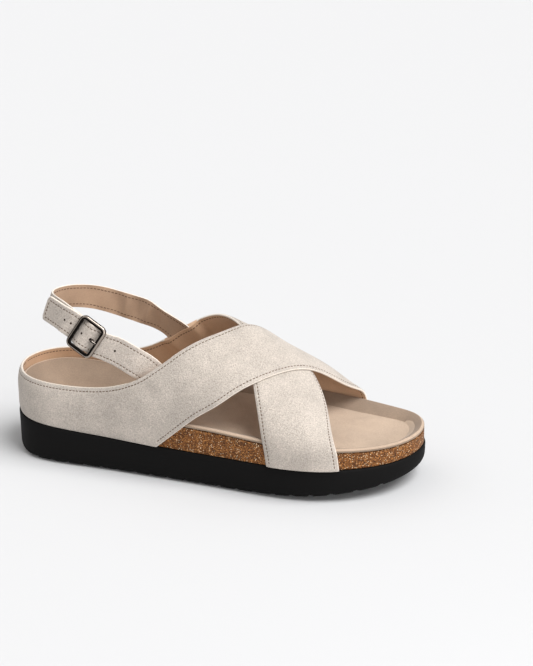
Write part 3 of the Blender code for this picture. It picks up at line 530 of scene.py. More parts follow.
# Upper
def band_rows(table):
    """The band's front and rear edges; the front one climbs from the sole in a straight line."""
    front = smooth([(b.front, b.front_round) for b in table[: CORNER_ROW + 1]], EDGE_STEPS)[:-1]
    rising = smooth([(b.front, b.front_round) for b in table[CORNER_ROW:]], EDGE_STEPS)
    wall = rising[: WALL_STEPS + 1]
    climbed = travelled(last_points(rising[EDGE_STEPS, 0] * SOLE_LENGTH, wall[:, 1]))
    climbed /= climbed[-1]
    straight = wall[0, 0] + (wall[-1, 0] - wall[0, 0]) * climbed
    kept = ease((climbed - 0.55) / 0.45)
    wall[:, 0] = straight * (1 - kept) + wall[:, 0] * kept
    rear = smooth([(b.rear, b.rear_round) for b in table], EDGE_STEPS)
    return np.vstack([front, rising]), rear


def band_grid(table, way_round, lift, across_count=64):
    """The lining's grid of one band and its normals, with each row's places and length."""
    share = np.linspace(0, 1, ACROSS_SAMPLES)[None, :]

    def spread(front, rear):
        x = (front[:, :1] + (rear[:, :1] - front[:, :1]) * share) * SOLE_LENGTH
        return x, np.clip(front[:, 1:] + (rear[:, 1:] - front[:, 1:]) * share, -1, 1)

    front, rear = band_rows(table)
    x, turn = spread(front, rear)
    far = travelled(last_points(x, turn * way_round)[:, ACROSS_SAMPLES // 2])
    index = np.arange(len(far))
    at = np.interp(np.linspace(0, far[-1], int(far[-1] / GRAIN)), far, index)
    corner = float(CORNER_ROW * EDGE_STEPS)
    at[int(np.argmin(np.abs(at - corner)))] = corner
    x, turn = spread(read_at(at, index, front), read_at(at, index, rear))
    out = last_normals(x, turn * way_round)
    surface = last_points(x, turn * way_round) + out * lift(x, turn)[..., None]
    lengths = np.linalg.norm(np.diff(surface, axis=1), axis=2).sum(axis=1)
    places = across_places(lengths, across_count)
    grid, normals = [], []
    for row, row_out, wanted in zip(surface, out, places):
        grid.append(resample(row, wanted))
        normals.append(read_at(wanted, travelled(row), row_out))
    return np.array(grid), unit(np.array(normals)), places, lengths


# Soft troughs and ridges of the suede: the place on the sandal, its reach and depth in mm.
Crease = namedtuple("Crease", "x y z reach depth")
CREASES = (
    Crease(98, -38, 54, 7, -1.2),
    Crease(105, -38, 60, 6, 1.0),
    Crease(115, -36, 58, 8, -0.6),
    Crease(88, -42, 44, 10, 0.22),
    Crease(60, -38, 44, 14, -0.25),
    Crease(30, -32, 42, 12, 0.20),
    Crease(138, -22, 74, 12, 0.25),
    Crease(128, 10, 88, 14, -0.20),
    Crease(166, -40, 42, 7, -0.6),
    Crease(159, -42, 33, 6, 0.5),
    Crease(172, -42, 30, 6, -0.45),
    Crease(150, -28, 66, 9, 0.25),
    Crease(176, 30, 50, 11, -0.25),
    Crease(190, 38, 38, 9, 0.20),
    Crease(110, 40, 50, 12, -0.25),
    Crease(70, 38, 46, 13, 0.22),
    Crease(40, 34, 40, 12, -0.2),
)


def creased(points, normals):
    """The sheet's points, moved in or out by the soft troughs and ridges."""
    moved = np.zeros(points.shape[:-1])
    for crease in CREASES:
        gap = points - np.array((crease.x, crease.y, crease.z)) * MM
        near = np.exp(-(gap**2).sum(-1) / (crease.reach * MM) ** 2)
        moved += near * crease.depth * MM
    return points + normals * moved[..., None]


def sheet_thickness(places, lengths, thickness, rows=(True, True), depth=STITCH_SUNK, thin=0.0):
    """A sheet's thickness over its grid: sunk along stitch rows and rounded at its edges."""
    found = np.full(places.shape, thickness)
    for distance, stitched in ((places, rows[0]), (np.asarray(lengths)[:, None] - places, rows[1])):
        found -= EDGE_ROUNDING * np.clip(1 - distance / EDGE_ROUNDING_REACH, 0, 1) ** 2
        found -= thin * np.clip(1 - distance / EDGE_THIN_REACH, 0, 1) ** 1.5
        sunk = np.exp(-(((distance - STITCH_INSET) / STITCH_SUNK_REACH) ** 2)) * depth
        found -= sunk * (1.0 if stitched is True else stitched[:, None])
    return found


def stitch_row(points, outs, skip=0.0, end_skip=0.0):
    """Frames of the stitches along one row on a surface: place, way along and out."""
    far = travelled(points)
    total = far[-1] - skip - end_skip
    count = max(1, int(total / STITCH_PITCH))
    wanted = skip + (np.arange(count) + 0.5) * total / count
    step = 0.4 * MM
    along = unit(read_at(wanted + step, far, points) - read_at(wanted - step, far, points))
    out = read_at(wanted, far, outs)
    out -= along * (out * along).sum(1, keepdims=True)
    return read_at(wanted, far, points), along, unit(out)


def stitch_shape():
    """A thread bead and its two needle holes, as points along, across and out of the row."""
    turns = 2 * math.pi * np.arange(BEAD_SIDES) / BEAD_SIDES
    loops = []
    for r in range(BEAD_RINGS + 1):
        angle = math.pi * r / BEAD_RINGS
        reach, girth = -math.cos(angle), max(math.sin(angle), 0.12) * THREAD_RADIUS
        along = np.full(BEAD_SIDES, reach * THREAD_LENGTH / 2)
        sunk = 0.02 * MM + 0.12 * MM * abs(reach)
        loops.append((along, np.cos(turns) * 1.15 * girth, np.sin(turns) * 0.75 * girth - sunk))
    # The flat discs at each end carry the needle holes' painted shade.
    for end in (-1, 1):
        along = end * (THREAD_LENGTH / 2 - 0.08 * MM) + np.cos(turns) * 0.28 * MM
        loops.append((along, np.sin(turns) * 0.36 * MM, np.full(BEAD_SIDES, 0.03 * MM)))
    return np.concatenate(loops, axis=1).T


def needlework(name, rows, thread):
    """All stitches of a piece as one mesh: thread beads between flat discs of painted shade at the needle
    holes.
    """
    shape = stitch_shape()
    faces = grid_faces(BEAD_RINGS + 1, BEAD_SIDES, wrap_columns=True).tolist()
    kinds = [0] * len(faces) + [1, 1]
    for end in (1, 2):
        faces.append(list(range(BEAD_SIDES * (BEAD_RINGS + end), BEAD_SIDES * (BEAD_RINGS + end + 1))))
    points = []
    for places, along, out in rows:
        frames = np.stack([along, np.cross(out, along), out], axis=1)
        points.append((places[:, None] + shape @ frames).reshape(-1, 3))
    points = np.vstack(points)
    starts = range(0, len(points), len(shape))
    every = [[corner + start for corner in face] for start in starts for face in faces]
    return new_object(name, points, every, [thread, HOLE_SHADE], kinds * len(starts))


def sewn(name, rows, inner_rows):
    """The stitches of a piece, outside and on its lining."""
    outside = needlework(name + "_stitches", rows, THREAD)
    return outside, needlework(name + "_lining_stitches", inner_rows, LINING_THREAD)


# Materials
def base_material(name, roughness, sheen=0.0, specular=0.4):
    material = bpy.data.materials.new(name)
    material.use_nodes = True
    tree = material.node_tree
    shader = tree.nodes["Principled BSDF"]
    shader.inputs["Roughness"].default_value = roughness
    shader.inputs["Sheen Weight"].default_value = sheen
    shader.inputs["Sheen Roughness"].default_value = 0.6
    shader.inputs["Specular IOR Level"].default_value = specular
    place = tree.nodes.new("ShaderNodeTexCoord").outputs["Object"]
    return material, tree, shader, place


def new_node(tree, kind, inputs, **settings):
    """The outputs of a new node, whose inputs are links from other nodes or plain values."""
    made = tree.nodes.new("ShaderNode" + kind)
    for name, value in settings.items():
        setattr(made, name, value)
    for name, value in inputs.items():
        if isinstance(value, bpy.types.NodeSocket):
            tree.links.new(value, made.inputs[name])
        else:
            made.inputs[name].default_value = value
    return made.outputs


def noise(tree, place, size, detail=2.0, roughness=0.5):
    """Noise whose blobs are about this size in metres."""
    inputs = {"Vector": place, "Scale": 1 / size, "Detail": detail, "Roughness": roughness}
    return new_node(tree, "TexNoise", inputs)["Fac"]


def remap(tree, value, low, high, to_low, to_high):
    inputs = {"Value": value, "From Min": low, "From Max": high, "To Min": to_low, "To Max": to_high}
    return new_node(tree, "MapRange", inputs)["Result"]


def arithmetic(tree, operation, a, b):
    return new_node(tree, "Math", {0: a, 1: b}, operation=operation)[0]


def brightened(tree, colour, factor):
    """A colour times a varying factor."""
    return new_node(tree, "VectorMath", {0: colour, "Scale": factor}, operation="SCALE")[0]


def bumped(tree, shader, height, distance, strength=1.0):
    inputs = {"Distance": distance, "Strength": strength, "Height": height}
    tree.links.new(new_node(tree, "Bump", inputs)["Normal"], shader.inputs["Normal"])


def suede(name, colour, mottle=0.085, speckle=0.26, sheen=0.2, bump=0.26 * MM):
    """Brushed nap: soft clouds, small patches and a fine grain that catches the light."""
    material, tree, shader, place = base_material(name, 0.95, sheen, 0.15)
    half = mottle * 0.5
    clouds = remap(tree, noise(tree, place, 20 * MM), 0.32, 0.68, 1 - mottle, 1 + mottle)
    patches = remap(tree, noise(tree, place, 7 * MM), 0.3, 0.7, 1 - half, 1 + half)
    nap = noise(tree, place, 0.72 * MM, 2.0, 0.6)
    grains = remap(tree, nap, 0.30, 0.70, 1 - speckle, 1 + speckle)
    factor = arithmetic(tree, "MULTIPLY", arithmetic(tree, "MULTIPLY", clouds, patches), grains)
    tree.links.new(brightened(tree, colour, factor), shader.inputs["Base Color"])
    fine = arithmetic(tree, "MULTIPLY", noise(tree, place, 0.55 * MM, 1.0), 0.6)
    bumped(tree, shader, arithmetic(tree, "ADD", fine, nap), bump)
    return material


def plain(name, colour, roughness, metallic=0.0, specular=0.4, grain=0.0, grain_size=0.5 * MM):
    material, tree, shader, place = base_material(name, roughness, 0.0, specular)
    shader.inputs["Base Color"].default_value = (*colour, 1)
    shader.inputs["Metallic"].default_value = metallic
    if grain:
        bumped(tree, shader, noise(tree, place, grain_size, 2.0, 0.6), grain)
    return material


def metal(name, colour, roughness):
    return plain(name, colour, roughness, metallic=1.0, grain=0.004 * MM)


def cork(name):
    """Pressed granules: dark and tan grains, and a few pale flecks that catch light."""
    material, tree, shader, place = base_material(name, 0.6, 0.0, 0.25)

    def granules(seed):
        shift = (seed, seed * 0.7, -seed)
        shifted = new_node(tree, "VectorMath", {0: place, 1: shift}, operation="ADD")[0]
        inputs = {"Scale": 1 / CORK_GRANULE, "Randomness": 1.0, "Vector": shifted}
        cells = new_node(tree, "TexVoronoi", inputs)
        return cells["Distance"], new_node(tree, "SeparateColor", {0: cells["Color"]})

    distance, tint = granules(0.3)
    ramp = tree.nodes.new("ShaderNodeValToRGB")
    tree.links.new(tint[0], ramp.inputs["Fac"])
    stops = ramp.color_ramp.elements
    for position in (0.30, 0.75):
        stops.new(position)
    for stop, (position, colour) in zip(stops, CORK_TINTS):
        stop.position, stop.color = position, (*colour, 1)
    fine_distance, fine_tint = granules(1.7)
    fleck = remap(tree, fine_tint[1], 0.84, 0.86, 0.0, 1.0)
    centre = remap(tree, fine_distance, 0.26, 0.42, 1.0, 0.0)
    inputs = {
        "Factor": arithmetic(tree, "MULTIPLY", fleck, centre),
        "A": ramp.outputs["Color"],
        "B": (0.95, 0.76, 0.50, 1),
    }
    colour = new_node(tree, "Mix", inputs, data_type="RGBA")["Result"]
    shade = remap(tree, fine_tint[0], 0.0, 1.0, 0.72, 1.28)
    tree.links.new(brightened(tree, colour, shade), shader.inputs["Base Color"])
    fine_distance = arithmetic(tree, "MULTIPLY", fine_distance, 0.5)
    bumped(tree, shader, arithmetic(tree, "ADD", distance, fine_distance), 0.25 * MM, 0.8)
    return material


SUEDE = suede("suede", (0.444, 0.396, 0.351))
STRAP_SUEDE = suede("strap_suede", (0.430, 0.380, 0.336))
LINING = suede("lining", (0.600, 0.392, 0.252), 0.05, 0.06, 0.12, 0.05 * MM)
STRAP_LINING = suede("strap_lining", (0.430, 0.290, 0.197), 0.07, 0.06, 0.12, 0.04 * MM)
RAW_EDGE = suede("raw_edge", (0.687, 0.622, 0.549), 0.03, 0.08, 0.2, 0.06 * MM)
FOOTBED = suede("footbed_suede", (0.430, 0.325, 0.243), 0.07, 0.09, 0.15, 0.10 * MM)
# Painted shade: the footbed's sloping border and rim edge are darker than its flat inside, partly the suede's
# own tone, partly painted shade of the slope.
FOOTBED_BORDER_SHADE = suede("footbed_border_painted_shade", (0.270, 0.198, 0.144), 0.07, 0.09, 0.15, 0.10 * MM)
THREAD = plain("thread", (0.128, 0.085, 0.056), 0.85, specular=0.2)
# Painted shade: near-black colour for the needle-hole discs and the punched holes' walls and bottoms,
# standing in for the shade inside the holes.
HOLE_SHADE = plain("needle_hole_painted_shade", (0.060, 0.040, 0.026), 0.95, specular=0.1)
LINING_THREAD = plain("lining_thread", (0.17, 0.10, 0.06), 0.85, specular=0.2)
CORK = cork("cork")
FOAM_COLOUR = (0.0030, 0.0028, 0.0028)
FOAM = plain("black_foam", FOAM_COLOUR, 0.75, specular=0.13, grain=0.06 * MM, grain_size=0.7 * MM)
METAL = metal("gunmetal", (0.012, 0.010, 0.009), 0.24)
# Painted highlight: lighter gunmetal on the frame's right rail and top rail edges, where the key light
# reflects.
METAL_HIGHLIGHT = metal("gunmetal_painted_highlight", (0.36, 0.31, 0.27), 0.3)
PRONG_METAL = metal("prong_gunmetal", (0.20, 0.175, 0.155), 0.2)


# Upper: the two bands
def over_strap_end(points, normals, strap_end):
    """How far the lining stands in, to cover the end of a strap held between the layers."""
    found = np.zeros(points.shape[:-1])
    flat_points, flat_normals = points.reshape(-1, 3), normals.reshape(-1, 3)
    spots = strap_end.reshape(-1, 3)
    nearby = np.linalg.norm(flat_points - spots.mean(axis=0), axis=1) < 30 * MM
    for i in np.where(nearby)[0]:
        gap = spots - flat_points[i]
        inward = -(gap @ flat_normals[i])
        aside = np.sqrt(np.maximum((gap**2).sum(1) - inward**2, 0))
        needed = (inward + COVER_GAP) * ease((COVER_REACH - aside) / COVER_FADE)
        found.flat[i] = max(0.0, float(needed.max()))
    return found


def softened(values, first, reach):
    """Values of the rows from this one on, averaged with their neighbours along the band."""
    count = len(values)
    rows = np.arange(count)
    spread = reach * ease((rows - first) / 10) * ease((count - 1 - rows) / 10) + 0.01
    weights = np.exp(-0.5 * ((rows[None, :] - rows[:, None]) / spread[:, None]) ** 2)
    weights /= weights.sum(axis=1, keepdims=True)
    return np.einsum("ij,jkc->ikc", weights, values)


def make_band(name, table, way_round, lift, strap_end):
    grid, normals, places, lengths = band_grid(table, way_round, lift)
    front, _ = band_rows(table)
    corner_point = last_points(front[CORNER_ROW * EDGE_STEPS, 0] * SOLE_LENGTH, -1.0 * way_round)
    corner = int(np.argmin(np.linalg.norm(grid[:, 0] - corner_point, axis=1)))
    grid, normals = softened(grid, corner + 2, 4.5), unit(softened(normals, corner + 2, 4.5))
    grid = creased(grid, normals)
    ahead = ease((np.arange(len(grid)) - corner) / 4)
    thickness = sheet_thickness(places, lengths, WALL, (ahead, True), thin=EDGE_THIN)
    outer = grid + normals * thickness[..., None]
    covered = over_strap_end(grid, normals, strap_end)
    grid = grid - normals * covered[..., None]
    band = slab(name, grid, normals, thickness + covered, SUEDE, LINING)

    def edge_rows(surface, outs, first, end_skip):
        near, far = STITCH_COLUMN, -1 - STITCH_COLUMN
        return [
            stitch_row(surface[:, far], outs[:, far], skip=1.0 * MM, end_skip=end_skip),
            stitch_row(surface[first:, near], outs[first:, near], end_skip=end_skip),
        ]

    rows = edge_rows(outer, normals, corner + 2, 1.5 * MM)
    return band, *sewn(name, rows, edge_rows(grid, -normals, corner + 12, 3.0 * MM))


# Straps
def against_band(row, thickness):
    """The place just inside a band's lining for a strap of this thickness, and the way out."""
    side = row.across
    turns = np.linspace(WALL_SHARE, 0.2, 400)
    heights = last_points(row.along, side * turns)[:, 2]
    turn = side * float(np.interp(row.height, heights, turns))
    out = last_normals(row.along, turn)
    return last_points(row.along, turn) - out * (SEAT_GAP + thickness / 2), out


def buckle_axes():
    along = unit(np.array(BUCKLE_AIM))
    outward = unit(np.array((along[1], -along[0], 0)))
    up = np.array((0, 0, 1)) * math.cos(STRAP_LEAN) - outward * math.sin(STRAP_LEAN)
    across = unit(up - along * (up @ along))
    out = np.cross(along, across)
    return along, across, out if out @ outward > 0 else -out


BUCKLE_ORIGIN = np.array(BUCKLE_CENTRE)
BUCKLE_ALONG, BUCKLE_ACROSS, BUCKLE_OUT = buckle_axes()


def at_buckle(along, across, out):
    return BUCKLE_ORIGIN + BUCKLE_ALONG * along + BUCKLE_ACROSS * across + BUCKLE_OUT * out


def spaced(points, step):
    """The same line at an even fine step, with each point's old index."""
    far = travelled(points)
    wanted = np.linspace(0, far[-1], max(2, int(far[-1] / step)))
    return resample(points, wanted), np.interp(wanted, far, np.arange(len(points)))


def frames_along(points, row_index, outward_side, root_out, leans):
    """Ways up the strap's width and outward at each point, and how far it bows."""
    found = []
    for i, point in enumerate(points):
        along = unit(points[min(i + 1, len(points) - 1)] - points[max(i - 1, 0)])
        outward = unit(np.array((along[1], -along[0], 0))) * outward_side
        leaned = outward * math.cos(leans[i]) + np.array((0, 0, math.sin(leans[i])))
        free = float(ease((row_index[i] - 1) / 2))
        facing = root_out * (1 - free) + leaned * free
        out = unit(facing - along * (facing @ along))
        width = np.cross(out, along)
        found.append((point, width if width[2] > 0 else -width, out, ROOT_BOW * (1 - free)))
    return found


def strap_sheet(name, frames, half_widths, thickness, stitched, ripple=0.0):
    """A strap as a fine sheet over its frames, with its stitch rows between two frames."""
    halves = np.array(half_widths)
    places = across_places(halves * 2, 36)
    point, width, out, bow = (np.array(part) for part in zip(*frames))
    offset = places - halves[:, None]
    rounding = 1 - (offset / halves[:, None]) ** 2
    sag = -bow[:, None] * (1 - rounding) + STRAP_CROWN * rounding - thickness / 2
    sag = sag + np.reshape(ripple, (-1, 1)) * np.maximum(rounding, 0) ** 0.8
    normals = np.broadcast_to(out[:, None], (*places.shape, 3))
    grid = point[:, None] + width[:, None] * offset[..., None] + normals * sag[..., None]
    depths = sheet_thickness(places, halves * 2, thickness, depth=0.12 * MM)
    strap = slab(name, grid, normals, depths, STRAP_SUEDE, STRAP_LINING, bevel=0.22 * MM)
    outer = grid + normals * depths[..., None]
    rows, inner_rows = [], []
    for k in (STITCH_COLUMN, -1 - STITCH_COLUMN):
        rows.append(stitch_row(outer[stitched, k], normals[stitched, k]))
        inner_rows.append(stitch_row(grid[stitched, k], -normals[stitched, k]))
    return strap, grid, outer, normals, rows, inner_rows


def held_end(grid, points, root):
    """The inner side of the strap's end, as far as the upper's layers hold it."""
    at_root = int(np.argmin(np.linalg.norm(points - root, axis=1)))
    return grid[: at_root + int(4 * MM / np.linalg.norm(points[1] - points[0])) : 2, ::2]


def sling_end_profile():
    """The sling strap's end round the buckle's bar, as places along and out of the buckle."""
    points = [(-11 * MM, SLING_LAYER), (-5.2 * MM, SLING_LAYER), (-3.4 * MM, SLING_LAYER + 0.5 * MM)]
    for angle in np.radians(np.arange(130, -101, -23)):
        points.append((LOOP_MIDDLE * math.cos(angle), LOOP_MIDDLE * math.sin(angle)))
    points.append((-3.2 * MM, FOLD_LAYER + 0.1 * MM))
    points += [(-5.5 * MM, FOLD_LAYER), (-FOLD_LENGTH, FOLD_LAYER)]
    return smooth(points, 4)


# Soft ripples across the sling strap: the row of its sheet, reach in rows and depth in mm.
SLING_RIPPLES = (
    (36, 3.0, 0.9),
    (46, 2.5, -1.1),
    (55, 3.0, 1.2),
    (64, 2.7, -1.0),
    (72, 3.0, 0.8),
    (82, 3.6, -0.6),
    (94, 4.5, 0.5),
    (106, 5.5, -0.3),
)


def make_sling():
    root, root_out = against_band(SLING_ROOT, LOOP_THICKNESS)
    deep, _ = against_band(SLING_DEEP, LOOP_THICKNESS)
    route = [deep, root, *SLING_ROWS, at_buckle(-11 * MM, 0, SLING_LAYER)]
    points, index = spaced(smooth(route, ROUTE_STEPS), 0.8 * MM)
    rows = index / ROUTE_STEPS
    leans = STRAP_LEAN * (0.2 + 0.8 * ease((rows - 4.5) / 3))
    frames = frames_along(points[:-1], rows, 1, root_out, leans)
    halves = list(STRAP_WIDTH / 2 + SLING_SPREAD * ease((5.5 - rows[:-1]) / 3))
    profile = sling_end_profile()
    for i, (along, out) in enumerate(profile):
        ahead = unit(profile[min(i + 1, len(profile) - 1)] - profile[max(i - 1, 0)])
        normal = BUCKLE_OUT * ahead[0] - BUCKLE_ALONG * ahead[1]
        frames.append((at_buckle(along, 0, out), BUCKLE_ACROSS, normal, 0.0))
        halves.append(STRAP_WIDTH / 2 - LOOP_NARROWING * min(1.0, i / 4))
    far = np.arange(len(frames))
    waves = sum(depth * MM * np.exp(-(((far - row) / reach) ** 2)) for row, reach, depth in SLING_RIPPLES)
    stitched = slice(14, len(points) - 6)
    strap, grid, _, _, rows, inner_rows = strap_sheet(
        "sling_strap_skin", frames, halves, LOOP_THICKNESS, stitched, waves
    )
    return (strap, *sewn("sling", rows, inner_rows)), held_end(grid, points, root)


def billet_out(along):
    """How far out the holed strap runs at this place along the buckle."""
    near = max(0.0, 1 - (along / (BAR_TO_SIDE - BUCKLE_WIRE)) ** 2)
    free = max(0.0, -along - BUCKLE_LENGTH / 2) * FREE_END_SPREAD
    return BILLET_UNDER_SIDE + (BILLET_OVER_BAR - BILLET_UNDER_SIDE) * near**1.3 + free


def make_billet():
    """The holed strap, which leather workers call a billet, and its held end."""
    root, root_out = against_band(BILLET_ROOT, STRAP_THICKNESS)
    deep, _ = against_band(BILLET_DEEP, STRAP_THICKNESS)
    at_bars = [at_buckle(a * MM, 0, billet_out(a * MM)) for a in np.arange(10, -14.1, -0.5)]
    head = smooth([deep, root, *BILLET_ROWS, at_bars[0]], ROUTE_STEPS)[:-1]
    last, tip = at_bars[-1], np.array(BILLET_TIP)
    tail = [last + (tip - last) * share for share in np.linspace(0.1, 1.0, 10)]
    points, index = spaced(np.vstack([head, at_bars, tail]), 0.6 * MM)
    free_row = 9.0
    rows = np.append(np.arange(len(head)) / ROUTE_STEPS, [free_row] * (len(at_bars) + len(tail)))
    rows = np.interp(index, np.arange(len(rows)), rows)
    frames = frames_along(points, rows, -1, root_out, np.full(len(points), STRAP_LEAN))
    from_buckle = points - BUCKLE_ORIGIN
    distance, ahead = np.linalg.norm(from_buckle, axis=1), from_buckle @ BUCKLE_ALONG
    frames = [
        (point, unit(width * (1 - hold) + BUCKLE_ACROSS * hold), out, bow)
        for (point, width, out, bow), hold in zip(frames, ease((20 * MM - distance) / (6 * MM)))
    ]
    to_tip = np.linalg.norm(points - points[-1], axis=1)
    short = TIP_CORNER - np.minimum(to_tip, TIP_CORNER)
    halves = STRAP_WIDTH / 2 - (TIP_CORNER - np.sqrt(TIP_CORNER**2 - short**2))
    halves += WINDOW_SPREAD * ease((10 * MM - distance) / (4 * MM))
    halves += PAST_BUCKLE_SPREAD * ease(ahead / (10 * MM))
    stop = int(np.argmax(to_tip < STITCH_INSET))
    strap, grid, outer, normals, stitches, inner_stitches = strap_sheet(
        "buckle_strap_skin", frames, halves, STRAP_THICKNESS, slice(14, stop + 1)
    )
    end = slice(STITCH_COLUMN, grid.shape[1] - STITCH_COLUMN)
    stitches.append(stitch_row(outer[stop, end], normals[stop, end], skip=1 * MM, end_skip=1 * MM))
    free = unit(tip - last)
    spare = int(np.argmin(np.abs(ahead - SPARE_HOLE)))
    holes = [
        (last + free * 2.5 * MM, free, HOLE_RADIUS, 0.0),
        (last - free * 2.45 * MM, free, HOLE_RADIUS, 0.0),
        (points[spare], unit(points[spare - 1] - points[spare + 1]), HOLE_RADIUS, 0.0),
        (at_buckle(-2.6 * MM, 0, billet_out(-2.6 * MM)), BUCKLE_ALONG, HOLE_RADIUS, 0.0),
        (at_buckle(PRONG_CROSSING, 0, billet_out(PRONG_CROSSING)), BUCKLE_ALONG, *USED_HOLE),
    ]
    cut_away(strap, punches(holes))
    return (strap, *sewn("buckle_strap", stitches, inner_stitches)), held_end(grid, points, root)


def punches(holes):
    """One tool with a round punch for each hole, drawn out along the strap for the used hole, stretched by
    wear.
    """
    mesh, sides = bmesh.new(), 20
    for centre, along, radius, stretch in holes:
        across = unit(np.cross(BUCKLE_OUT, along))
        loops = []
        for depth in (-HOLE_BOTTOM, 3 * MM):
            loop = []
            for angle in 2 * math.pi * (np.arange(sides) + 0.5) / sides:
                reach = radius * math.cos(angle) + math.copysign(stretch, math.cos(angle))
                spot = centre + along * reach + across * radius * math.sin(angle) + BUCKLE_OUT * depth
                loop.append(mesh.verts.new(tuple(spot + SHIFT)))
            loops.append(loop)
            mesh.faces.new(loop)
        for low, high, next_low, next_high in zip(*loops, *(loop[1:] + loop[:1] for loop in loops)):
            mesh.faces.new((low, next_low, next_high, high))
    bmesh.ops.recalc_face_normals(mesh, faces=mesh.faces)
    data = bpy.data.meshes.new("strap_holes")
    mesh.to_mesh(data)
    mesh.free()
    # The holes' walls and bottoms keep this material through the cut: painted shade inside the holes.
    data.materials.append(HOLE_SHADE)
    return linked("strap_holes", data)


def cut_away(target, tool):
    """Cuts the tool's shape out of the target and removes the tool."""
    step = target.modifiers.new("holes", "BOOLEAN")
    step.operation = "DIFFERENCE"
    step.solver = "EXACT"
    step.material_mode = "TRANSFER"
    step.object = tool
    graph = bpy.context.evaluated_depsgraph_get()
    graph.update()
    cut = bpy.data.meshes.new_from_object(target.evaluated_get(graph))
    target.modifiers.clear()
    target.data = cut
    bpy.data.objects.remove(tool)


# Sole
AROUND = 330


def fine_stations():
    """Places round the sole's edge, the outer side first, and the ways inwards from them."""
    stations = []
    for rows, side in ((np.arange(AROUND + 1), OUTER_SIDE), (np.arange(AROUND - 1, 0, -1), INNER_SIDE)):
        far = travelled(side)
        share = 0.45 * (1 - np.cos(np.pi * rows / AROUND)) / 2 + 0.55 * rows / AROUND
        stations.append(read_at(share * far[-1], far, side))
    stations = np.vstack(stations)
    way = unit(np.roll(stations, -2, axis=0) - np.roll(stations, 2, axis=0))
    return stations, np.stack([-way[:, 1], way[:, 0]], 1)


STATIONS, INWARDS = fine_stations()


def ring(inset, height):
    """Points round the sole, this far in from its outline and at this height."""
    step = inset(STATIONS[:, 0]) if callable(inset) else np.full(len(STATIONS), inset)
    flat = STATIONS + INWARDS * step[:, None]
    return np.column_stack([flat, height(flat[:, 0], flat[:, 1])])


def stack(name, rings, bottom, top, cells, materials, reshape=None, painted_shade_spans=()):
    """A closed solid from rings, lowest first, with a cap of strips at each end."""
    count = len(STATIONS)
    faces = grid_faces(len(rings), count, wrap_columns=True).tolist()
    points, total = list(rings), len(rings) * count
    for level, height, across in ((0, bottom, cells[0]), (len(rings) - 1, top, cells[1])):
        base, edge = level * count, rings[level]
        rows = [[base]]
        for i in range(1, AROUND):
            first, last = edge[i, :2], edge[count - i, :2]
            inner = first + (last - first) * (np.arange(1, across) / across)[:, None]
            points.append(np.column_stack([inner, height(inner[:, 0], inner[:, 1])]))
            rows.append([base + i, *range(total, total + len(inner)), base + count - i])
            total += len(inner)
        rows.append([base + AROUND])
        for near, far in zip(rows, rows[1:]):
            for k in range(across):
                corners = [near[min(k, len(near) - 1)], far[min(k, len(far) - 1)]]
                corners += [far[min(k + 1, len(far) - 1)], near[min(k + 1, len(near) - 1)]]
                faces.append([c for n, c in enumerate(corners) if c not in corners[:n]])
    points = np.vstack(points)
    if reshape is not None:
        points = reshape(points)
    kinds = np.zeros(len(faces), int)
    # Faces in these spans of rings take the second material; on the insole it is painted shade.
    for low, high in painted_shade_spans:
        kinds[low * count : high * count] = 1
    return new_object(name, points, faces, materials, kinds, sharp=40)


def between(rings, steps):
    """Smooth rings through these rings."""
    flat = smooth([r.ravel() for r in rings], steps)
    return [row.reshape(-1, 3) for row in flat]


def groove_height(x, y):
    """How far a lug groove reaches above the sole's bottom at a place."""
    waves = 8
    phase = (y / (BALL_WIDTH * 0.62) + 1) / 2 * waves
    zigzag = np.abs((phase % 2) - 1) * 2 - 1
    start = SOLE_LENGTH / 2 - (int(SOLE_LENGTH / 2 / LUG_PITCH) - 0.5) * LUG_PITCH
    along = (x - LUG_WAVE * zigzag - start) / LUG_PITCH
    nearest = np.clip(np.round(along), 0, int((SOLE_LENGTH - LUG_PITCH) / LUG_PITCH) - 1)
    gap = np.abs(along - nearest) * LUG_PITCH
    half = LUG_GROOVE_WIDTH / 2
    return LUG_GROOVE_DEPTH * np.clip((half - gap) / (half * 0.6), 0, 1)


def make_outsole():
    def bottom(lift):
        return lambda x, y: spring(x) + lift

    def below_top(drop):
        return lambda x, y: ledge(x) - drop

    def side(share):
        return lambda x, y: (spring(x) + 4.2 * MM) * (1 - share) + (ledge(x) - 1.2 * MM) * share

    def grooved(points):
        x, y, z = points.T
        raised = np.maximum(z, spring(x) + groove_height(x, y))
        points[:, 2] = np.where(z < spring(x) + 2.2 * MM, raised, z)
        return points

    curl = ((5.0, 0), (2.4, 0.5), (1.0, 1.7), (0.2, 4.2))
    shoulder = ((0, 1.2), (0.5, 0.2), (1.4, 0))
    rings = between([ring(inset * MM, bottom(lift * MM)) for inset, lift in curl], 4)
    rings += [ring(0.1 * MM, side(share)) for share in (0.33, 0.66)]
    rings += between([ring(inset * MM, below_top(drop * MM)) for inset, drop in shoulder], 3)
    return stack("outsole_skin", rings, bottom(0), below_top(0), (56, 2), [FOAM], grooved)


def make_midsole():
    def on_ledge(x, _):
        return ledge(x) + SEAT_GAP

    def under_footbed(x, y):
        return footbed(x, y) - FOOTBED_THICKNESS - SEAT_GAP

    def side(share):
        def height(x, y):
            high = rim(x) - FOOTBED_THICKNESS - SEAT_GAP - 0.5 * MM
            return (on_ledge(x, y) + 0.5 * MM) * (1 - share) + high * share

        return height

    def inside(extra):
        return lambda x: cork_inset(x) + extra

    rings = [ring(inside(0.3 * MM), on_ledge)]
    rings += [ring(inside(0), side(share)) for share in np.linspace(0, 1, 9)]
    for extra in (0.5, 1.6, 3.2, 5.7, 8.2, 10.7, 13.2):
        rings.append(ring(inside(extra * MM), under_footbed))
    return stack("midsole_skin", rings, on_ledge, under_footbed, (2, 8), [CORK])


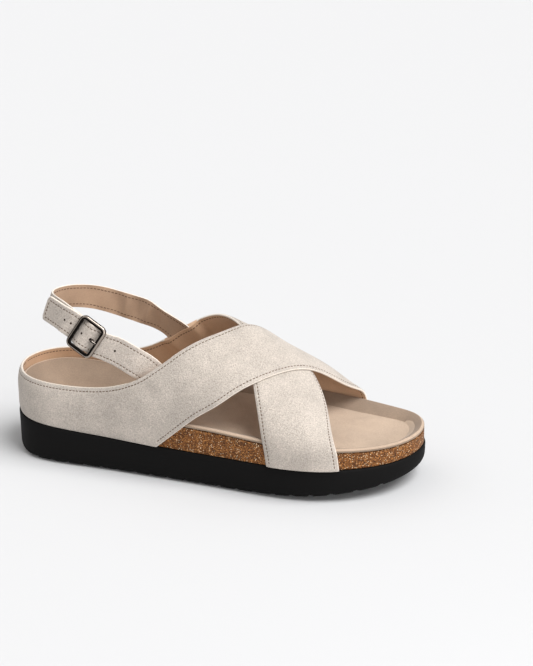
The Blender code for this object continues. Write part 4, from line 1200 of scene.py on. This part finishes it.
def border_scale(x):
    """The footbed border's width by place: wide round the heel, narrow at the toe."""
    share = np.asarray(x) / SOLE_LENGTH
    return 1 + 0.75 * (1 - ease((share - 0.15) / 0.3)) - 0.36 * ease((share - 0.80) / 0.18)


def heel_lip(x):
    return HEEL_LIP * (1 - ease((np.asarray(x) / SOLE_LENGTH - 0.16) / 0.26))


# Soft hollows and ridges of the footbed: place, reach along and across, and height, in mm.
Bump = namedtuple("Bump", "x y long wide height")
FOOTBED_BUMPS = (
    Bump(212, 4, 14, 9, -0.35),
    Bump(196, -12, 12, 14, 0.25),
    Bump(226, -10, 9, 8, 0.2),
    Bump(178, 6, 16, 14, -0.3),
    Bump(60, 0, 26, 14, -0.3),
    Bump(64, -17, 30, 2.2, 0.55),
    Bump(62, 19, 30, 2.6, 0.5),
)


def footbed_face(x, y):
    """The footbed with the crisp line where its sloping border meets the flat inside."""
    depth = edge_distance(x, y) - cork_inset(x)
    slope = FOOTBED_SLOPE_WIDTH * 1.05 * border_scale(x)
    share = np.clip((depth - BORDER_START) / slope, 0, 1)
    height = footbed_height(x, y, depth, share**1.15) + heel_lip(x) * (1 - share) ** 1.5
    for bump in FOOTBED_BUMPS:
        along, across = (x - bump.x * MM) / (bump.long * MM), (y - bump.y * MM) / (bump.wide * MM)
        height = height + np.exp(-(along**2 + across**2)) * bump.height * MM
    return height


def make_insole():
    def under(x, y):
        return footbed(x, y) - FOOTBED_THICKNESS

    def edge(lift, lip):
        return lambda x, y: rim(x) - FOOTBED_THICKNESS - 0.2 * MM + lift + heel_lip(x) * lip

    def inside(extra):
        """An inset from the cork's edge; the border's part follows the border's width."""
        if extra < BORDER_START:
            return lambda x: cork_inset(x) + extra + 0.17 * heel_lip(x) * extra / BORDER_START
        return lambda x: cork_inset(x) + BORDER_START + (extra - BORDER_START) * border_scale(x)

    rings = [ring(inside(extra * MM), under) for extra in (13.2, 10.7, 8.2, 5.7, 3.2, 1.6)]
    for extra, lift, lip in ((0.3, 0, 0), (0.05, 0.5, 0), (0, 0.9, 0), (0.3, 1.2, 0.9)):
        rings.append(ring(inside(extra * MM), edge(lift * MM, lip)))
    first = len(rings) + 2
    border = (0.8, 1.2, 1.6, 2.0, 2.5, 3.0, 3.6, 4.4, 5.2, 6.2, 7.2, 8.2, 9.2, 10.2, 11.0, 11.6)
    flat = (12.0, 12.25, 12.5, 12.9, 13.4)
    rings += [ring(inside(extra * MM), footbed_face) for extra in border + flat]
    # The rim's side edge and the sloping border take the darker suede: painted shade of the slope, partly the
    # border's own tone.
    painted_shade_spans = ((first - 7, first - 3), (first, first + len(border) - 1))
    finishes = [FOOTBED, FOOTBED_BORDER_SHADE]
    return stack("insole_skin", rings, under, footbed_face, (8, 40), finishes, painted_shade_spans=painted_shade_spans)


# Buckle
FRAME_CORNER = 2.5 * MM
FRAME_HALF_WIDTH = 1.3 * MM
FRAME_HALF_DEPTH = 1.2 * MM
FRAME_EDGE = 0.35 * MM
FRAME_BEVEL = 1.15 * MM
FRAME_SIDES = (BAR_TO_SIDE + 0.4 * MM, BAR_TO_SIDE + 1.7 * MM)
FRAME_RAILS = (RAIL_ACROSS + 0.6 * MM, RAIL_ACROSS - 0.1 * MM)
QUARTERS = ((1, 1), (-1, 1), (-1, -1), (1, -1))


def corner_arc(quarter, steps, half_width, half_height, radius):
    """One corner of a rounded rectangle, for the half sizes on that corner's sides."""
    side, up = QUARTERS[quarter]
    angles = math.pi / 2 * (quarter + np.arange(steps + 1) / steps)
    across = side * (half_width - radius) + radius * np.cos(angles)
    return np.stack([across, up * (half_height - radius) + radius * np.sin(angles)], axis=1)


def bar(name, centres, sides, outs, half_sizes, corners, materials, closed, streaks):
    """A rounded rectangular bar. A streak is where the second material shows, by row and side."""
    profile = np.vstack([corner_arc(quarter, 4, *half_sizes, corners[quarter]) for quarter in range(4)])
    points = centres[:, None] + sides[:, None] * profile[:, :1] + outs[:, None] * profile[:, 1:]
    rows, columns = len(centres), len(profile)
    faces = grid_faces(rows, columns, closed, True).tolist()
    kinds = np.zeros((rows if closed else rows - 1, columns), int)
    for where, first, last in streaks:
        kinds[where, first:last] = 1
    kinds = kinds.ravel().tolist()
    if not closed:
        faces += [list(range(columns)), list(range((rows - 1) * columns, rows * columns))]
        kinds += [0, 0]
    return new_object(name, points.reshape(-1, 3), faces, materials, kinds, sharp=60)


def ways_along(points, closed):
    """The way along a line at each of its points."""
    ahead, behind = np.roll(points, -1, axis=0), np.roll(points, 1, axis=0)
    if not closed:
        ahead[-1], behind[0] = points[-1], points[0]
    return unit(ahead - behind)


def make_frame():
    arcs, steps = [], 6
    for quarter, (side, up) in enumerate(QUARTERS):
        arcs.append(corner_arc(quarter, 8, FRAME_SIDES[side > 0], FRAME_RAILS[up > 0], FRAME_CORNER))
    flat, shares = [], (np.arange(1, steps) / steps)[:, None]
    for arc, following in zip(arcs, arcs[1:] + arcs[:1]):
        flat += [arc, arc[-1] + (following[0] - arc[-1]) * shares]
    flat = np.vstack(flat)
    points = np.array([at_buckle(along, across, BAR_DROP) for along, across in flat])
    outs = np.broadcast_to(BUCKLE_OUT, points.shape)
    sides = np.cross(outs, ways_along(points, True))
    prong_side = flat[:, 0] > FRAME_SIDES[1] - 1.6 * MM
    upper_rail = flat[:, 1] > FRAME_RAILS[1] - 0.8 * MM
    # Painted highlights: strips of lighter metal along the frame's edges, right rail and top rail, where the
    # key light reflects.
    painted_highlights = ((slice(None), 5, 6), (upper_rail, 5, 8), (upper_rail, 1, 3), (prong_side, 5, 9))
    half_sizes = (FRAME_HALF_WIDTH, FRAME_HALF_DEPTH)
    corners = (FRAME_EDGE, FRAME_BEVEL, FRAME_EDGE, FRAME_EDGE)
    finishes = [METAL, METAL_HIGHLIGHT]
    return bar("buckle_frame_bar", points, sides, outs, half_sizes, corners, finishes, True, painted_highlights)


def round_bar(name, route, radius, materials, closed=False, steps=6, streaks=()):
    """A round bar along a smooth route of places along, across and out of the buckle."""
    points = smooth([at_buckle(*place) for place in route], steps, closed)
    way = ways_along(points, closed)
    aside = unit(np.cross(way, BUCKLE_OUT + BUCKLE_ALONG * 0.01 + BUCKLE_ACROSS * 0.013))
    outs, corners = np.cross(aside, way), [radius * 0.999] * 4
    return bar(name, points, aside, outs, (radius, radius), corners, materials, closed, streaks)


def make_centre_bar():
    half = RAIL_ACROSS
    lower = [(0, -half, BAR_DROP), (0, -half, 0.9 * MM), (0, -half + 0.9 * MM, 0), (0, -half + 3 * MM, 0)]
    upper = [(0, -across, out) for _, across, out in lower[::-1]]
    return round_bar("buckle_centre_bar", lower + upper, BAR_RADIUS, [METAL])


def make_prong():
    radius = LOOP_INNER + PRONG_RADIUS

    def round_loop(degrees):
        return radius * math.cos(math.radians(degrees)), 0, radius * math.sin(math.radians(degrees))

    loop = [round_loop(degrees) for degrees in range(0, 360, 30)]
    looped = round_bar("prong_loop", loop, PRONG_RADIUS, [PRONG_METAL], closed=True, steps=3)
    tip_out = BAR_DROP + FRAME_HALF_DEPTH + SEAT_GAP / 2 + PRONG_TIP_RADIUS
    route = [
        round_loop(50),
        (PRONG_CROSSING, 0, billet_out(PRONG_CROSSING)),
        (PRONG_CROSSING + 0.9 * MM, 0, tip_out - 0.1 * MM),
        (PRONG_CROSSING + 2.2 * MM, 0, tip_out),
        (BAR_TO_SIDE + 1.5 * MM, 0, tip_out),
    ]
    dark = ((slice(None), 3, 6),)
    finishes = [PRONG_METAL, METAL]
    return looped, round_bar("prong_pin", route, PRONG_TIP_RADIUS, finishes, streaks=dark)


# The sandal
SLING, SLING_END = make_sling()
BILLET, BILLET_END = make_billet()
OVER = make_band("over_band_skin", OVER_BAND, 1.0, over_lift, BILLET_END)
UNDER = make_band("under_band_skin", UNDER_BAND, -1.0, no_lift, SLING_END)
FRAME = (make_frame(), make_centre_bar())
PRONG = make_prong()
PIECES = (
    (OVER + UNDER, "upper", "upper_suede"),
    (SLING, "sling_strap", "sling_suede"),
    (BILLET, "buckle_strap", "strap_suede"),
    (FRAME, "buckle_frame", "gunmetal"),
    (PRONG, "buckle_prong", "prong_gunmetal"),
    ((make_insole(),), "insole", "footbed_suede"),
    ((make_midsole(),), "midsole", "cork"),
    ((make_outsole(),), "outsole", "black_foam_rubber"),
)
for made, node, finish_slot in PIECES:
    for piece in made:
        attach(piece, "root")
        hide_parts(node)


# Floor, lights and camera
def make_floor():
    half = 8.0
    corners = [(x * half, y * half, 0) for x, y in ((-1, -1), (1, -1), (1, 1), (-1, 1))]
    data = bpy.data.meshes.new("floor")
    data.from_pydata(corners, [], [(0, 1, 2, 3)])
    data.materials.append(plain("floor", (0.580, 0.586, 0.598), 0.9, specular=0.15))
    made = linked("floor", data)
    made.location.z = -0.2 * MM


def add_light(name, kind, towards, power, **settings):
    data = bpy.data.lights.new(name, kind)
    data.energy = power
    for setting, value in settings.items():
        setattr(data, setting, value)
    made = linked(name, data)
    made.rotation_mode = "QUATERNION"
    made.rotation_quaternion = towards.to_track_quat("Z", "Y")
    return made


def near_light(name, place, aim, size, power):
    """A small low softbox that lights the toe's side more than the heel."""
    made = add_light(name, "AREA", Vector(place) - Vector(aim), power, shape="DISK", size=size)
    made.location = place
    made.visible_camera = False


def sun_light(name, towards, spread, power, colour):
    """Even parallel light from this direction, with soft shadows of this spread in degrees."""
    add_light(name, "SUN", Vector(towards), power, angle=math.radians(spread), color=colour)


CAMERA_AZIMUTH = math.radians(17.8504)
CAMERA_ELEVATION = math.radians(20.1404)
CAMERA_ROLL = math.radians(-0.737)
CAMERA_PLACE = (0.336953, -0.943921, 0.448616)
FOCAL_PIXELS = 1785.763
IMAGE_HEIGHT = 666
SENSOR_HEIGHT = 36


def make_camera():
    level = Vector((math.cos(CAMERA_AZIMUTH), math.sin(CAMERA_AZIMUTH), 0))
    away = Vector((math.sin(CAMERA_AZIMUTH), -math.cos(CAMERA_AZIMUTH), 0))
    back = away * math.cos(CAMERA_ELEVATION) + Vector((0, 0, math.sin(CAMERA_ELEVATION)))
    upright = back.cross(level)
    right = level * math.cos(CAMERA_ROLL) + upright * math.sin(CAMERA_ROLL)
    up = upright * math.cos(CAMERA_ROLL) - level * math.sin(CAMERA_ROLL)
    data = bpy.data.cameras.new("camera")
    data.sensor_fit = "VERTICAL"
    data.sensor_height = SENSOR_HEIGHT
    data.lens = FOCAL_PIXELS * SENSOR_HEIGHT / IMAGE_HEIGHT
    data.clip_end = 50
    made = linked("camera", data)
    turned = Matrix((right, up, back)).transposed().to_4x4()
    made.matrix_world = Matrix.Translation(CAMERA_PLACE) @ turned
    bpy.context.scene.camera = made


make_floor()
WORLD = bpy.data.worlds.new("studio")
WORLD.use_nodes = True
sky = WORLD.node_tree.nodes["Background"].inputs
sky["Color"].default_value = (1.0, 0.985, 0.968, 1)
sky["Strength"].default_value = 0.51
bpy.context.scene.world = WORLD
sun_light("key", (0.52, -0.10, 0.85), 42, 3.46, (1.0, 0.995, 0.99))
sun_light("left_fill", (-0.70, 0.10, 0.70), 60, 0.42, (1.0, 0.96, 0.92))
sun_light("front_fill", (0.75, -0.60, 0.12), 40, 1.0, (1.0, 0.99, 0.98))
near_light("toe_glow", (0.50, -0.42, 0.13), (0.06, 0.0, 0.04), 0.30, 0.45)
make_camera()
bpy.context.scene.view_settings.view_transform = "Standard"
